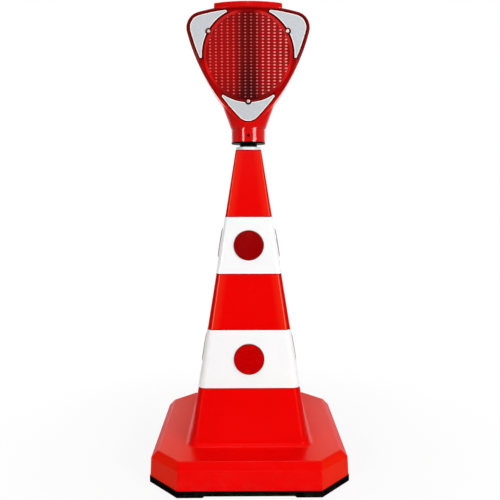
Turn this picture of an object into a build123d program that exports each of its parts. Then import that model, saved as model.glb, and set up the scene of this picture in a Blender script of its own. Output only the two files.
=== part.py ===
"""Traffic cone with a solar warning light.

A square hollow cone stands on an octagonal base with a rubber foot. A two-sided lamp plugs into a
swivel bush in the cone's top. Millimetres, +Z up, front towards -Y, origin on the ground under the axis.
"""

import os
from math import asin, atan, cos, degrees, exp, hypot, radians, sin, sqrt, tan

from build123d import *

# Driving dimensions of the cone
CONE_HEIGHT = 750.0
BASE_WIDTH = 450.0
BASE_TOP = 74.0
SKIRT_TOP = 58.0
RUBBER_TOP = 16.0
FOOT_HEIGHT = 4.5
PYRAMID_BOTTOM_HALF = 138.0
PYRAMID_TOP_HALF = 30.0
PYRAMID_BOTTOM_RADIUS = 20.5
PYRAMID_TOP_RADIUS = 5.0
SHELL_WALL = 3.5
TOP_PLATE = 8.0

# Driving dimensions of the reflective trim
BAND_HEIGHT = 130.0
UPPER_BAND_MIDDLE = 528.5
LOWER_BAND_MIDDLE = 270.0
BAND_THICKNESS = 0.8
REFLECTOR_RADIUS = 35.5
REFLECTOR_PLATE = 2.4
REFLECTOR_LENS = 1.0

# Driving dimensions of the lamp
LAMP_AXIS_Z = 962.0
LENS_RADIUS = 101.0
LENS_DOME_RADIUS = 95.0
LENS_DOME_RISE = 4.0
LENS_COLUMNS = 14
HEAD_HALF_DEPTH = 45.0
HEAD_SIDE_DISTANCE = 110.2
HEAD_SIDE_RADIUS = 430.0
HEAD_LOBE_RADIUS = 36.2
HEAD_LOBE_REACH = 120.1
HEAD_FLAT_TOP = 1067.0
HEAD_WALL = 3.0
COLLAR_RADIUS = 40.5
COLLAR_BORE = 37.0
COLLAR_BOTTOM = 768.5
COLLAR_TOP = 800.0
SPIGOT_RADIUS = 20.7
SPIGOT_BOTTOM = 700.0
TRAY_HALF_LENGTH = 77.0
TRAY_HALF_DEPTH = 46.5
TRAY_BOW = 16.0
TRAY_TOP = 1075.0
BUTTON_RADIUS = 3.5
BUTTON_Z = 782.0
CELL_RADIUS = 9.1
CELL_LENGTH = 66.0

# Clearances
TRIM_GAP = 0.05
RUNNING_GAP = 0.06
SLIDING_GAP = 0.1
BUTTON_GAP = 0.15
POCKET_GAP = 0.4

UPWARDS = (Align.CENTER, Align.CENTER, Align.MIN)
DOWNWARDS = (Align.CENTER, Align.CENTER, Align.MAX)


# Shapes used by several pieces

def disc(radius, height, z=0.0, align=UPWARDS):
    """Round disc or rod standing at height z."""
    return Pos(0, 0, z) * Cylinder(radius, height, align=align)


def turned(points):
    """Ring turned about Z from a closed (radius, height) outline."""
    return revolve(Plane.XZ * Polygon(*points, align=None), Axis.Z)


def polar(reach, angle):
    return (reach * cos(radians(angle)), reach * sin(radians(angle)))


def pan_screw(head_radius, head_height, shank_radius, length):
    """Pan-head screw with a cross slot: head above the origin, shank below it."""
    head = disc(head_radius, head_height)
    head = fillet(head.edges().sort_by(Axis.Z)[-1:], head_height * 0.6)
    shank = disc(shank_radius, length, align=DOWNWARDS)
    shank = chamfer(shank.edges().sort_by(Axis.Z)[:1], shank_radius / 2)
    bar = Box(head_radius, head_radius / 4, head_height)
    return head + shank - Pos(0, 0, head_height) * (bar + Rot(0, 0, 90) * bar)


# Cone shell: one hollow moulding with base, pyramid and top plate

PYRAMID_SLOPE = (PYRAMID_BOTTOM_HALF - PYRAMID_TOP_HALF) / (CONE_HEIGHT - BASE_TOP)
PYRAMID_TILT = degrees(atan(PYRAMID_SLOPE))
SKIRT_HALF = BASE_WIDTH / 2 - 1.0
SKIRT_TOP_HALF = SKIRT_HALF - 2.0
BASE_TOP_HALF = SKIRT_TOP_HALF - (BASE_TOP - SKIRT_TOP)
SKIRT_CUT = 68.0
BASE_TOP_CUT = 51.0
CUT_PER_WALL = 2 - sqrt(2)
BASE_EDGE_RADIUS = 6.0
ROOT_RADIUS = 12.0

BASE_SCREW_RADIUS = 2.5
BASE_SCREW_TOP = 34.0
BASE_SCREW_SPREAD = 60.0
BASE_SCREW_REACH = 187.0
BASE_POST_RADIUS = 8.0
BASE_SCREWS_AT = [(Rot(0, 0, 90 * side) * Pos(x, -BASE_SCREW_REACH, 0)).position
                  for side in range(4) for x in (-BASE_SCREW_SPREAD, BASE_SCREW_SPREAD)]

BUSH_RADIUS = 23.0


def octagon(half, cut, z):
    """Square of half-width `half` with its corners cut off over `cut`, at height z."""
    near = half - cut
    corners = [(half, near), (near, half), (-near, half), (-half, near),
               (-half, -near), (-near, -half), (near, -half), (half, -near)]
    return Pos(0, 0, z) * Polygon(*corners, align=None)


def pyramid_half(z):
    """Half-width over the pyramid's flat faces at height z."""
    return PYRAMID_BOTTOM_HALF - PYRAMID_SLOPE * (z - BASE_TOP)


def pyramid_section(z, grow):
    """Rounded square across the pyramid at height z, grown square to its faces."""
    half = pyramid_half(z) + grow / cos(radians(PYRAMID_TILT))
    share = (z - BASE_TOP) / (CONE_HEIGHT - BASE_TOP)
    radius = PYRAMID_BOTTOM_RADIUS + (PYRAMID_TOP_RADIUS - PYRAMID_BOTTOM_RADIUS) * share
    return Pos(0, 0, z) * RectangleRounded(2 * half, 2 * half, radius + grow)


def pyramid(bottom, top, grow):
    """Length of the pyramid between two heights, with flat sides and conical corners."""
    return loft([pyramid_section(bottom, grow), pyramid_section(top, grow)], ruled=True)


def base_block(inset, bottom, skirt_top, top):
    """Octagonal block with a drafted skirt and a bevelled top, inset all round."""
    cut = inset * CUT_PER_WALL
    foot = octagon(SKIRT_HALF - inset, SKIRT_CUT - cut, bottom)
    shoulder = octagon(SKIRT_TOP_HALF - inset, SKIRT_CUT - cut, skirt_top)
    lid = octagon(BASE_TOP_HALF - inset * tan(radians(22.5)), BASE_TOP_CUT - cut / 2, top)
    return loft([foot, shoulder], ruled=True) + loft([shoulder, lid], ruled=True)


def make_cone_shell():
    outer = base_block(0, RUBBER_TOP, SKIRT_TOP, BASE_TOP)
    outer = fillet([edge for edge in outer.edges() if edge.center().Z > RUBBER_TOP + 0.1], BASE_EDGE_RADIUS)
    outer += pyramid(BASE_TOP - 1, CONE_HEIGHT, 0)
    root = [edge for edge in outer.edges() if abs(edge.center().Z - BASE_TOP) < 0.01
            and max(abs(edge.center().X), abs(edge.center().Y)) < PYRAMID_BOTTOM_HALF + 1]
    outer = fillet(root, ROOT_RADIUS)

    shoulder = SKIRT_TOP - SHELL_WALL * tan(radians(22.5))
    cavity = base_block(SHELL_WALL, RUBBER_TOP - 1, shoulder, BASE_TOP - SHELL_WALL)
    cavity -= [Pos(at.X, at.Y, RUBBER_TOP) * disc(BASE_POST_RADIUS, BASE_TOP) for at in BASE_SCREWS_AT]
    cavity += pyramid(BASE_TOP - SHELL_WALL - 1, CONE_HEIGHT - TOP_PLATE, -SHELL_WALL)

    shell = outer - cavity
    shell -= disc(BUSH_RADIUS + RUNNING_GAP, 3 * TOP_PLATE, CONE_HEIGHT - 2 * TOP_PLATE)
    return shell - [at_hole(at, BASE_SCREW_TOP + 1) for at in BASE_SCREWS_AT]


def at_hole(at, top):
    """Screw hole up from the ground to height `top`."""
    return Pos(at.X, at.Y, 0) * disc(BASE_SCREW_RADIUS + TRIM_GAP, top)


# Rubber base: open octagonal ring with corner feet and a lip inside the skirt

OPENING_HALF = 150.0
OPENING_RADIUS = 10.0
LIP_TOP = 28.0
LIP_WALL = 8.0
LIP_INSET = SHELL_WALL + 2.5
FOOT_INNER = 97.5
RUBBER_EDGE = 2.0


def make_rubber_base():
    half = BASE_WIDTH / 2
    ring = extrude(octagon(half, SKIRT_CUT, 0), RUBBER_TOP)
    ring = chamfer(ring.faces().sort_by(Axis.Z)[0].edges(), RUBBER_EDGE)
    lip_half = SKIRT_HALF - LIP_INSET
    lip_cut = SKIRT_CUT - LIP_INSET * CUT_PER_WALL
    lip = octagon(lip_half, lip_cut, RUBBER_TOP)
    lip -= octagon(lip_half - LIP_WALL, lip_cut - LIP_WALL * CUT_PER_WALL, RUBBER_TOP)
    ring += extrude(lip, LIP_TOP - RUBBER_TOP)
    ring -= extrude(RectangleRounded(2 * OPENING_HALF, 2 * OPENING_HALF, OPENING_RADIUS), RUBBER_TOP)

    wide = FOOT_INNER + FOOT_HEIGHT
    gap = Polygon((-wide, 0), (wide, 0), (FOOT_INNER, FOOT_HEIGHT), (-FOOT_INNER, FOOT_HEIGHT), align=None)
    channel = extrude(Plane.XZ * gap, half, both=True)
    ring -= [channel, Rot(0, 0, 90) * channel]
    return ring - [at_hole(at, RUBBER_TOP) for at in BASE_SCREWS_AT]


def make_base_screws():
    screw = Rot(180, 0, 0) * pan_screw(5.5, 3.0, BASE_SCREW_RADIUS, BASE_SCREW_TOP - FOOT_HEIGHT)
    return [Pos(at.X, at.Y, FOOT_HEIGHT) * screw for at in BASE_SCREWS_AT]


# Reflective trim: wrapped bands, and a round reflector on each face of both bands

def make_band(middle):
    low, high = middle - BAND_HEIGHT / 2, middle + BAND_HEIGHT / 2
    return pyramid(low, high, TRIM_GAP + BAND_THICKNESS) - pyramid(low, high, TRIM_GAP)


def on_faces(piece, z, lift):
    """The piece, made along +Z, on the middle of all four faces and `lift` above the shell."""
    tilt = radians(PYRAMID_TILT)
    out = pyramid_half(z) + lift / cos(tilt)
    face = Plane(origin=(0, -out, z), x_dir=(1, 0, 0), z_dir=(0, -cos(tilt), sin(tilt)))
    return [Rot(0, 0, 90 * side) * (face * piece) for side in range(4)]


def make_reflector_plates(middle):
    plate = disc(REFLECTOR_RADIUS, REFLECTOR_PLATE)
    plate = fillet(plate.edges().sort_by(Axis.Z)[-1:], 0.5)
    return on_faces(plate, middle, BAND_THICKNESS + 2 * TRIM_GAP)


def make_reflector_lenses(middle):
    lens = disc(REFLECTOR_RADIUS - 0.6, REFLECTOR_LENS)
    lens = chamfer(lens.edges().sort_by(Axis.Z)[-1:], 0.7)
    return on_faces(lens, middle, BAND_THICKNESS + REFLECTOR_PLATE + 3 * TRIM_GAP)


# Swivel bush: a cup that turns in the top plate, and the lamp's spigot stands on its floor

BUSH_BOTTOM = 692.0
BUSH_FLANGE_RADIUS = 30.5
BUSH_FLANGE_TOP = 757.0
BUSH_LEAD = 1.2
BUSH_DRAIN_RADIUS = 1.5
CLIP_GROOVE_RADIUS = 21.8
CLIP_RADIUS = 26.5
CLIP_LOW = 739.0
CLIP_HIGH = 741.6
CLIP_GAP_ANGLE = 50.0


def make_swivel_bush():
    bore = SPIGOT_RADIUS + SLIDING_GAP
    floor_top = SPIGOT_BOTTOM - RUNNING_GAP
    flange_bottom = CONE_HEIGHT + RUNNING_GAP
    cup = turned([
        (0, BUSH_BOTTOM), (BUSH_RADIUS - BUSH_LEAD, BUSH_BOTTOM), (BUSH_RADIUS, BUSH_BOTTOM + BUSH_LEAD),
        (BUSH_RADIUS, CLIP_LOW), (CLIP_GROOVE_RADIUS, CLIP_LOW),
        (CLIP_GROOVE_RADIUS, CLIP_HIGH), (BUSH_RADIUS, CLIP_HIGH),
        (BUSH_RADIUS, flange_bottom), (BUSH_FLANGE_RADIUS, flange_bottom),
        (BUSH_FLANGE_RADIUS, BUSH_FLANGE_TOP - BUSH_LEAD), (BUSH_FLANGE_RADIUS - BUSH_LEAD, BUSH_FLANGE_TOP),
        (bore + BUSH_LEAD, BUSH_FLANGE_TOP), (bore, BUSH_FLANGE_TOP - BUSH_LEAD),
        (bore, floor_top), (0, floor_top)])
    return cup - disc(BUSH_DRAIN_RADIUS, 2 * SPIGOT_RADIUS, BUSH_BOTTOM - 1)


def make_bush_clip():
    """Open spring ring in the bush's groove, under the top plate."""
    low, high = CLIP_LOW + TRIM_GAP, CLIP_HIGH - TRIM_GAP
    inner = CLIP_GROOVE_RADIUS + TRIM_GAP
    section = Polygon((inner, low), (CLIP_RADIUS, low), (CLIP_RADIUS, high), (inner, high), align=None)
    ring = revolve(Plane.XZ * section, Axis.Z, 360 - CLIP_GAP_ANGLE)
    return Rot(0, 0, 90 + CLIP_GAP_ANGLE / 2) * ring


# Lamp case: two halves that meet at Y = 0, drawn in a frame whose z points out of the front lens

LAMP_FACE = Plane(origin=(0, 0, LAMP_AXIS_Z), x_dir=(1, 0, 0), z_dir=(0, -1, 0))
LOBE_ANGLES = (-90, 30, 150)
FACE_WALL = 6.0
RIM_RADIUS = 5.0
SEAT_DEPTH = 3.5
SEAT_BACK = 8.5
APERTURE_RADIUS = 93.0
SEAT_Z = HEAD_HALF_DEPTH - SEAT_DEPTH
EAR_REACH = 103.2
EAR_RADIUS = 5.0
EARS_AT = [polar(EAR_REACH, angle) for angle in LOBE_ANGLES]
GASKET_RADIUS = 98.8
GASKET_WIDTH = 2.2
GASKET_DEPTH = 1.6
LENS_SCREW_RADIUS = 1.75
LENS_SCREW_LENGTH = 16.0
LENS_BOSS_DEPTH = 19.0
SHEET_INSET = 8.7
SHEET_RING = 4.6
SHEET_NOTCH = 3.0
SHEET_TIP_REACH = 66.7
SHEET_TIP_RADIUS = 2.0
SHEET_THICKNESS = 0.8
BED_GAP = 0.2
BED_DEPTH = 1.2
MOAT_WIDTH = 2.8
MOAT_DEPTH = 4.0
TRAY_SCREW_X = 70.0
TRAY_SCREW_Y = 30.0
TRAY_SCREW_RADIUS = 1.7
TRAY_SCREW_BOTTOM = 1054.0
TRAY_BOSS_RADIUS = 4.5
LEAD_HOLE_RADIUS = 4.0
NECK_RISE = 61.0
NECK_STEPS = (0.0, 4.0, 8.0, 13.0, 20.0, 30.0, 44.0, NECK_RISE)
NECK_OVERHANG = 1.0
NECK_TOP_HALF = 63.5
NECK_TOP_CORNER = 30.0
NECK_FLUSH = HEAD_HALF_DEPTH - 0.4
NECK_FLARE = 5.0
NECK_FOOT_FLAT = 0.1


def trefoil(inset):
    """Head outline: three bowed sides running tangent into three round lobes, inset all round."""
    side_centre = HEAD_SIDE_RADIUS - HEAD_SIDE_DISTANCE
    side_radius = HEAD_SIDE_RADIUS - inset
    lobe_tip = HEAD_LOBE_REACH + HEAD_LOBE_RADIUS - inset

    def tangent_point(lobe, side):
        lobe_x, lobe_y = polar(HEAD_LOBE_REACH, lobe)
        side_x, side_y = polar(side_centre, side + 180)
        run_x, run_y = lobe_x - side_x, lobe_y - side_y
        share = side_radius / hypot(run_x, run_y)
        return (side_x + run_x * share, side_y + run_y * share)

    edges = []
    for lobe in LOBE_ANGLES:
        entry = tangent_point(lobe, lobe - 60)
        leave = tangent_point(lobe, lobe + 60)
        following = tangent_point(lobe + 120, lobe + 60)
        edges.append(ThreePointArc(entry, polar(lobe_tip, lobe), leave))
        edges.append(ThreePointArc(leave, polar(HEAD_SIDE_DISTANCE - inset, lobe + 60), following))
    return make_face(edges)


def ears(radius):
    """Round ears at the three lens screws."""
    return [Pos(x, y) * Circle(radius) for x, y in EARS_AT]


def crescents(grow):
    """Three crescents on the lobes outside the lens, notched round its ears and cut off at their tips."""
    lobe_x, lobe_y = polar(HEAD_LOBE_REACH, LOBE_ANGLES[0])
    crescent = trefoil(SHEET_INSET - grow) & Pos(lobe_x, lobe_y) * Circle(SHEET_TIP_REACH + grow)
    crescent -= Circle(LENS_RADIUS + SHEET_RING - grow)
    crescent -= Pos(*EARS_AT[0]) * Circle(EAR_RADIUS + SHEET_NOTCH - grow)
    return [Rot(0, 0, 120 * turn) * crescent for turn in range(3)]


def neck(grow):
    """Neck that spreads from the round collar and flares forwards until it is nearly flush with the head's face."""
    foot = COLLAR_RADIUS + NECK_OVERHANG
    sections = []
    for rise in NECK_STEPS:
        share = rise / NECK_RISE
        half_x = foot + (NECK_TOP_HALF - foot) * share
        half_y = foot + (NECK_FLUSH - foot) * (1 - exp(-rise / NECK_FLARE))
        corner = foot - NECK_FOOT_FLAT + (NECK_TOP_CORNER - foot) * share
        section = RectangleRounded(2 * (half_x + grow), 2 * (half_y + grow), corner + grow)
        sections.append(Pos(0, 0, COLLAR_TOP + rise) * section)
    return loft(sections)


def raised(face, low, high):
    """Extrusion of a face between two depths of the lamp's front."""
    return LAMP_FACE * (Pos(0, 0, low) * extrude(face, high - low))


def tray_screw_line(side, radius, low, high):
    return Pos(side * TRAY_SCREW_X, -TRAY_SCREW_Y, 0) * disc(radius, high - low, low)


def housing_half():
    """Front half of the case: head, lens seat, reflector beds, half of the neck and collar."""
    front = HEAD_HALF_DEPTH
    half_space = Pos(0, -100, 900) * Box(400, 200, 800)
    above = Pos(0, 0, HEAD_FLAT_TOP) * Box(400, 400, 100, align=UPWARDS)
    collar_height = COLLAR_TOP - COLLAR_BOTTOM

    head = extrude(trefoil(0), front)
    head = fillet(head.faces().sort_by(Axis.Z)[-1].edges(), RIM_RADIUS)
    case = LAMP_FACE * head
    case += (neck(0) + disc(COLLAR_RADIUS, collar_height, COLLAR_BOTTOM)) & half_space
    case -= above

    hollow = raised(trefoil(HEAD_WALL), 0, front - FACE_WALL)
    hollow -= Pos(0, 0, -HEAD_WALL) * above
    hollow -= raised(Circle(GASKET_RADIUS + 9) - Circle(APERTURE_RADIUS), front - SEAT_BACK, front)
    hollow -= [raised(ear, SEAT_Z - LENS_BOSS_DEPTH, front) for ear in ears(EAR_RADIUS)]
    hollow -= [tray_screw_line(side, TRAY_BOSS_RADIUS, TRAY_SCREW_BOTTOM - 3, HEAD_FLAT_TOP) for side in (-1, 1)]
    hollow += (neck(-HEAD_WALL - 0.5) + disc(COLLAR_BORE, collar_height, COLLAR_BOTTOM)) & half_space
    case -= hollow

    gasket_groove = Circle(GASKET_RADIUS + GASKET_WIDTH / 2) - Circle(GASKET_RADIUS - GASKET_WIDTH / 2)
    case -= raised(Circle(APERTURE_RADIUS), 0, front)
    case -= raised(Circle(LENS_RADIUS + POCKET_GAP) + ears(EAR_RADIUS + POCKET_GAP), SEAT_Z, front)
    case -= raised(gasket_groove, SEAT_Z - GASKET_DEPTH, SEAT_Z)
    for bed, moat in zip(crescents(BED_GAP), crescents(BED_GAP + MOAT_WIDTH)):
        case -= raised(moat, front - BED_DEPTH, front)
        case -= raised(moat - bed, front - MOAT_DEPTH, front)
    case -= [raised(hole, SEAT_Z - LENS_SCREW_LENGTH, front) for hole in ears(LENS_SCREW_RADIUS + TRIM_GAP)]
    case -= [tray_screw_line(side, TRAY_SCREW_RADIUS + TRIM_GAP, TRAY_SCREW_BOTTOM - 1, HEAD_FLAT_TOP)
             for side in (-1, 1)]
    return case - disc(LEAD_HOLE_RADIUS, 20, HEAD_FLAT_TOP - 10)


def rear(piece):
    """The same piece on the lamp's rear side."""
    if isinstance(piece, list):
        return [Rot(0, 0, 180) * item for item in piece]
    return Rot(0, 0, 180) * piece


def make_front_housing():
    """Front half, with the switch button's hole through the collar."""
    hole = Pos(0, -COLLAR_RADIUS, BUTTON_Z) * Rot(90, 0, 0) * Cylinder(BUTTON_RADIUS + BUTTON_GAP, 20)
    return housing_half() - hole


def make_crescents():
    """Silver reflective sheets with rounded tips, laid in the beds."""
    sheet = extrude(crescents(0)[0], SHEET_THICKNESS)
    lobe_x, lobe_y = polar(HEAD_LOBE_REACH, LOBE_ANGLES[0])
    tips = [edge for edge in sheet.edges().filter_by(Axis.Z)
            if abs(hypot(edge.center().X - lobe_x, edge.center().Y - lobe_y) - SHEET_TIP_REACH) < 0.01]
    sheet = Pos(0, 0, HEAD_HALF_DEPTH - BED_DEPTH) * fillet(tips, SHEET_TIP_RADIUS)
    return [LAMP_FACE * (Rot(0, 0, 120 * turn) * sheet) for turn in range(3)]


# Lenses: screw-eared flange and a shallow dome, fluted inside in upright columns

LENS_STEP = 1.0
LENS_WALL = 3.0
FLUTE_SAG = 0.8


def make_lens():
    crown = HEAD_HALF_DEPTH + LENS_STEP + LENS_DOME_RISE
    edge = HEAD_HALF_DEPTH + LENS_STEP
    ball = (LENS_DOME_RADIUS ** 2 + LENS_DOME_RISE ** 2) / (2 * LENS_DOME_RISE)
    ball_z = crown - ball
    half_way = LENS_DOME_RADIUS / 2
    dome = make_face([
        Line((0, SEAT_Z), (LENS_DOME_RADIUS, SEAT_Z)),
        Line((LENS_DOME_RADIUS, SEAT_Z), (LENS_DOME_RADIUS, edge)),
        ThreePointArc((LENS_DOME_RADIUS, edge), (half_way, ball_z + sqrt(ball ** 2 - half_way ** 2)), (0, crown)),
        Line((0, crown), (0, SEAT_Z))])
    lens = Pos(0, 0, SEAT_Z) * extrude(Circle(LENS_RADIUS) + ears(EAR_RADIUS), SEAT_DEPTH)
    lens += revolve(Plane.XZ * dome, Axis.Z)

    inner = ball - LENS_WALL
    pitch = 2 * LENS_DOME_RADIUS / LENS_COLUMNS
    joints = [-LENS_DOME_RADIUS + pitch * column for column in range(LENS_COLUMNS + 1)]
    heights = [ball_z + sqrt(inner ** 2 - x ** 2) for x in joints]
    low = SEAT_Z - 10
    comb = []
    for left, right, left_z, right_z in zip(joints, joints[1:], heights, heights[1:]):
        middle = ((left + right) / 2, (left_z + right_z) / 2 - FLUTE_SAG)
        comb.append(ThreePointArc((left, left_z), middle, (right, right_z)))
    comb += [Line((joints[-1], heights[-1]), (joints[-1], low)), Line((joints[-1], low), (joints[0], low)),
             Line((joints[0], low), (joints[0], heights[0]))]
    cross_axis = Axis((0, 0, ball_z), (1, 0, 0))
    sweep_angle = 2 * degrees(asin(LENS_RADIUS / inner))
    fan = revolve(Plane.XZ * make_face(comb), cross_axis, sweep_angle).rotate(cross_axis, -sweep_angle / 2)
    lens -= fan & disc(APERTURE_RADIUS - 1, 40, SEAT_Z - 10)
    lens -= [Pos(x, y, 0) * disc(LENS_SCREW_RADIUS + TRIM_GAP, 2 * crown) for x, y in EARS_AT]
    return LAMP_FACE * lens


def make_lens_gasket():
    """Flat seal in the groove of the lens seat."""
    half = GASKET_WIDTH / 2 - TRIM_GAP
    ring = Circle(GASKET_RADIUS + half) - Circle(GASKET_RADIUS - half)
    return raised(ring, SEAT_Z - GASKET_DEPTH, SEAT_Z)


def make_lens_screws():
    screw = pan_screw(3.8, 2.4, LENS_SCREW_RADIUS, SEAT_DEPTH + LENS_SCREW_LENGTH - 1)
    return [LAMP_FACE * (Pos(x, y, HEAD_HALF_DEPTH) * screw) for x, y in EARS_AT]


# Solar cap: bowed tray on the head's flat top, with a panel under a clear window

TRAY_TOP_EDGE = 2.5
TRAY_LOW_EDGE = 2.0
BROW_BOTTOM = 1062.0
PANEL_FLOOR = 1071.8
PANEL_HALF = (60.0, 44.0)
PANEL_THICKNESS = 1.5
SEAL_THICKNESS = 0.5
WINDOW_HALF = (63.5, 47.5)
WINDOW_THICKNESS = 1.0
WINDOW_CORNER = 3.0


def tray_plan():
    """Plan of the tray: straight ends, front and rear edges bowed outwards."""
    end = TRAY_HALF_LENGTH
    corner = TRAY_HALF_DEPTH
    middle = corner + TRAY_BOW
    return make_face([
        ThreePointArc((-end, -corner), (0, -middle), (end, -corner)), Line((end, -corner), (end, corner)),
        ThreePointArc((end, corner), (0, middle), (-end, corner)), Line((-end, corner), (-end, -corner))])


def slab(half, inset, low, high, corner):
    """Rounded rectangular plate between two heights."""
    plate = RectangleRounded(2 * (half[0] - inset), 2 * (half[1] - inset), corner)
    return extrude(Pos(0, 0, low) * plate, high - low)


def make_solar_tray():
    tray = extrude(Pos(0, 0, BROW_BOTTOM) * tray_plan(), TRAY_TOP - BROW_BOTTOM)
    tray = fillet(tray.edges().filter_by(Axis.Z), 5)
    tray = fillet(tray.faces().sort_by(Axis.Z)[-1].edges(), TRAY_TOP_EDGE)
    tray = fillet(tray.faces().sort_by(Axis.Z)[0].edges(), TRAY_LOW_EDGE)
    head_room = Box(200, 2 * TRAY_HALF_DEPTH + 2, HEAD_FLAT_TOP - BROW_BOTTOM, align=UPWARDS)
    tray -= Pos(0, 0, BROW_BOTTOM) * head_room
    ledge = PANEL_FLOOR + PANEL_THICKNESS
    tray -= slab(PANEL_HALF, 0, PANEL_FLOOR, ledge, WINDOW_CORNER)
    tray -= slab(WINDOW_HALF, 0, ledge, TRAY_TOP, WINDOW_CORNER)
    tray -= disc(LEAD_HOLE_RADIUS, 30, HEAD_FLAT_TOP - 10)
    for x in (-TRAY_SCREW_X, TRAY_SCREW_X):
        for y in (-TRAY_SCREW_Y, TRAY_SCREW_Y):
            tray -= Pos(x, y, 0) * disc(TRAY_SCREW_RADIUS + TRIM_GAP, 20, HEAD_FLAT_TOP - 5)
            tray -= Pos(x, y, 0) * disc(4.0, 20, PANEL_FLOOR + 0.5)
    return tray


def make_solar_panel():
    return slab(PANEL_HALF, POCKET_GAP, PANEL_FLOOR, PANEL_FLOOR + PANEL_THICKNESS, WINDOW_CORNER)


def make_solar_seal():
    low = PANEL_FLOOR + PANEL_THICKNESS
    high = low + SEAL_THICKNESS
    return slab(WINDOW_HALF, POCKET_GAP, low, high, WINDOW_CORNER) - slab(PANEL_HALF, 0, low, high, WINDOW_CORNER)


def make_solar_window():
    low = PANEL_FLOOR + PANEL_THICKNESS + SEAL_THICKNESS
    window = slab(WINDOW_HALF, POCKET_GAP, low, low + WINDOW_THICKNESS, WINDOW_CORNER)
    return chamfer(window.faces().sort_by(Axis.Z)[-1].edges(), 0.3)


def make_tray_screws():
    low = PANEL_FLOOR + 0.5
    screw = pan_screw(3.3, 2.2, TRAY_SCREW_RADIUS, low - TRAY_SCREW_BOTTOM)
    return [Pos(x, y, low) * screw for x in (-TRAY_SCREW_X, TRAY_SCREW_X) for y in (-TRAY_SCREW_Y, TRAY_SCREW_Y)]


# Light source: a hollow post between the lenses with a board of LEDs on its front and rear

COLUMN_HALF_WIDTH = 23.0
COLUMN_HALF_DEPTH = 12.0
COLUMN_BOTTOM = 856.6
COLUMN_TOP = HEAD_FLAT_TOP - HEAD_WALL
BOARD_THICKNESS = 1.6
LED_BOARD_HALF_WIDTH = 18.0
LED_BOARD_LOW = 878.0
LED_BOARD_HIGH = 1046.0
LED_RADIUS = 3.0
LED_ROWS = 6
LED_SPREAD = 9.0


def make_led_column():
    outer = RectangleRounded(2 * COLUMN_HALF_WIDTH, 2 * COLUMN_HALF_DEPTH, 3)
    tube = outer - Rectangle(2 * COLUMN_HALF_WIDTH - 6, 2 * COLUMN_HALF_DEPTH - 6)
    return extrude(Pos(0, 0, COLUMN_BOTTOM) * tube, COLUMN_TOP - COLUMN_BOTTOM)


def make_led_board():
    height = LED_BOARD_HIGH - LED_BOARD_LOW
    middle = (LED_BOARD_HIGH + LED_BOARD_LOW) / 2
    return Pos(0, -COLUMN_HALF_DEPTH - BOARD_THICKNESS / 2, middle) * Box(2 * LED_BOARD_HALF_WIDTH, BOARD_THICKNESS,
                                                                         height)


def make_leds():
    """Round-topped LEDs standing on the board in two columns."""
    led = disc(LED_RADIUS, 5.0)
    led = fillet(led.edges().sort_by(Axis.Z)[-1:], LED_RADIUS - 0.3)
    led += disc(LED_RADIUS + 0.4, 1.0)
    base = Plane(origin=(0, -COLUMN_HALF_DEPTH - BOARD_THICKNESS, 0), x_dir=(1, 0, 0), z_dir=(0, -1, 0))
    step = (LED_BOARD_HIGH - LED_BOARD_LOW) / LED_ROWS
    heights = [LED_BOARD_LOW + step * (row + 0.5) for row in range(LED_ROWS)]
    return [base * (Pos(x, z, 0) * led) for z in heights for x in (-LED_SPREAD, LED_SPREAD)]


# Supply: plug with its seal and spigot, cells in a cradle on it, and the control board above them

PLUG_FLANGE_BOTTOM = 764.5
PLUG_TOP = 776.0
PLUG_BODY_RADIUS = COLLAR_BORE - 0.1
SEAL_GROOVE_RADIUS = 35.0
SEAL_LOW = 771.0
SEAL_HIGH = 773.6
SPIGOT_WALL = 3.5
CRADLE_WALL = 3.0
CRADLE_HALF_WIDTH = 31.0
CRADLE_FRONT = -11.0
CRADLE_BACK = CELL_RADIUS + CRADLE_WALL + 0.1
CELL_PITCH = 19.6
CELL_LOW = PLUG_TOP + CRADLE_WALL
CELL_HIGH = CELL_LOW + CELL_LENGTH
CONTROL_BOARD_LOW = COLUMN_BOTTOM - BOARD_THICKNESS


def make_spigot_plug():
    inner = SPIGOT_RADIUS - SPIGOT_WALL
    return turned([
        (inner, SPIGOT_BOTTOM), (SPIGOT_RADIUS - 2, SPIGOT_BOTTOM), (SPIGOT_RADIUS, SPIGOT_BOTTOM + 4),
        (SPIGOT_RADIUS, PLUG_FLANGE_BOTTOM), (COLLAR_RADIUS - 1.2, PLUG_FLANGE_BOTTOM),
        (COLLAR_RADIUS, PLUG_FLANGE_BOTTOM + 1.2), (COLLAR_RADIUS, COLLAR_BOTTOM), (PLUG_BODY_RADIUS, COLLAR_BOTTOM),
        (PLUG_BODY_RADIUS, SEAL_LOW), (SEAL_GROOVE_RADIUS, SEAL_LOW), (SEAL_GROOVE_RADIUS, SEAL_HIGH),
        (PLUG_BODY_RADIUS, SEAL_HIGH), (PLUG_BODY_RADIUS, PLUG_TOP), (0, PLUG_TOP),
        (0, COLLAR_BOTTOM), (inner, COLLAR_BOTTOM)])


def make_plug_seal():
    low, high = SEAL_LOW + TRIM_GAP, SEAL_HIGH - TRIM_GAP
    inner, outer = SEAL_GROOVE_RADIUS + TRIM_GAP, COLLAR_BORE - TRIM_GAP / 2
    seal = turned([(inner, low), (outer, low), (outer, high), (inner, high)])
    return fillet(seal.edges().filter_by(GeomType.CIRCLE), 0.6)


def cradle_plate(low):
    middle = (CRADLE_FRONT + CRADLE_BACK) / 2
    plate = RectangleRounded(2 * CRADLE_HALF_WIDTH, CRADLE_BACK - CRADLE_FRONT, 4)
    return extrude(Pos(0, middle, low) * plate, CRADLE_WALL)


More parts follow.
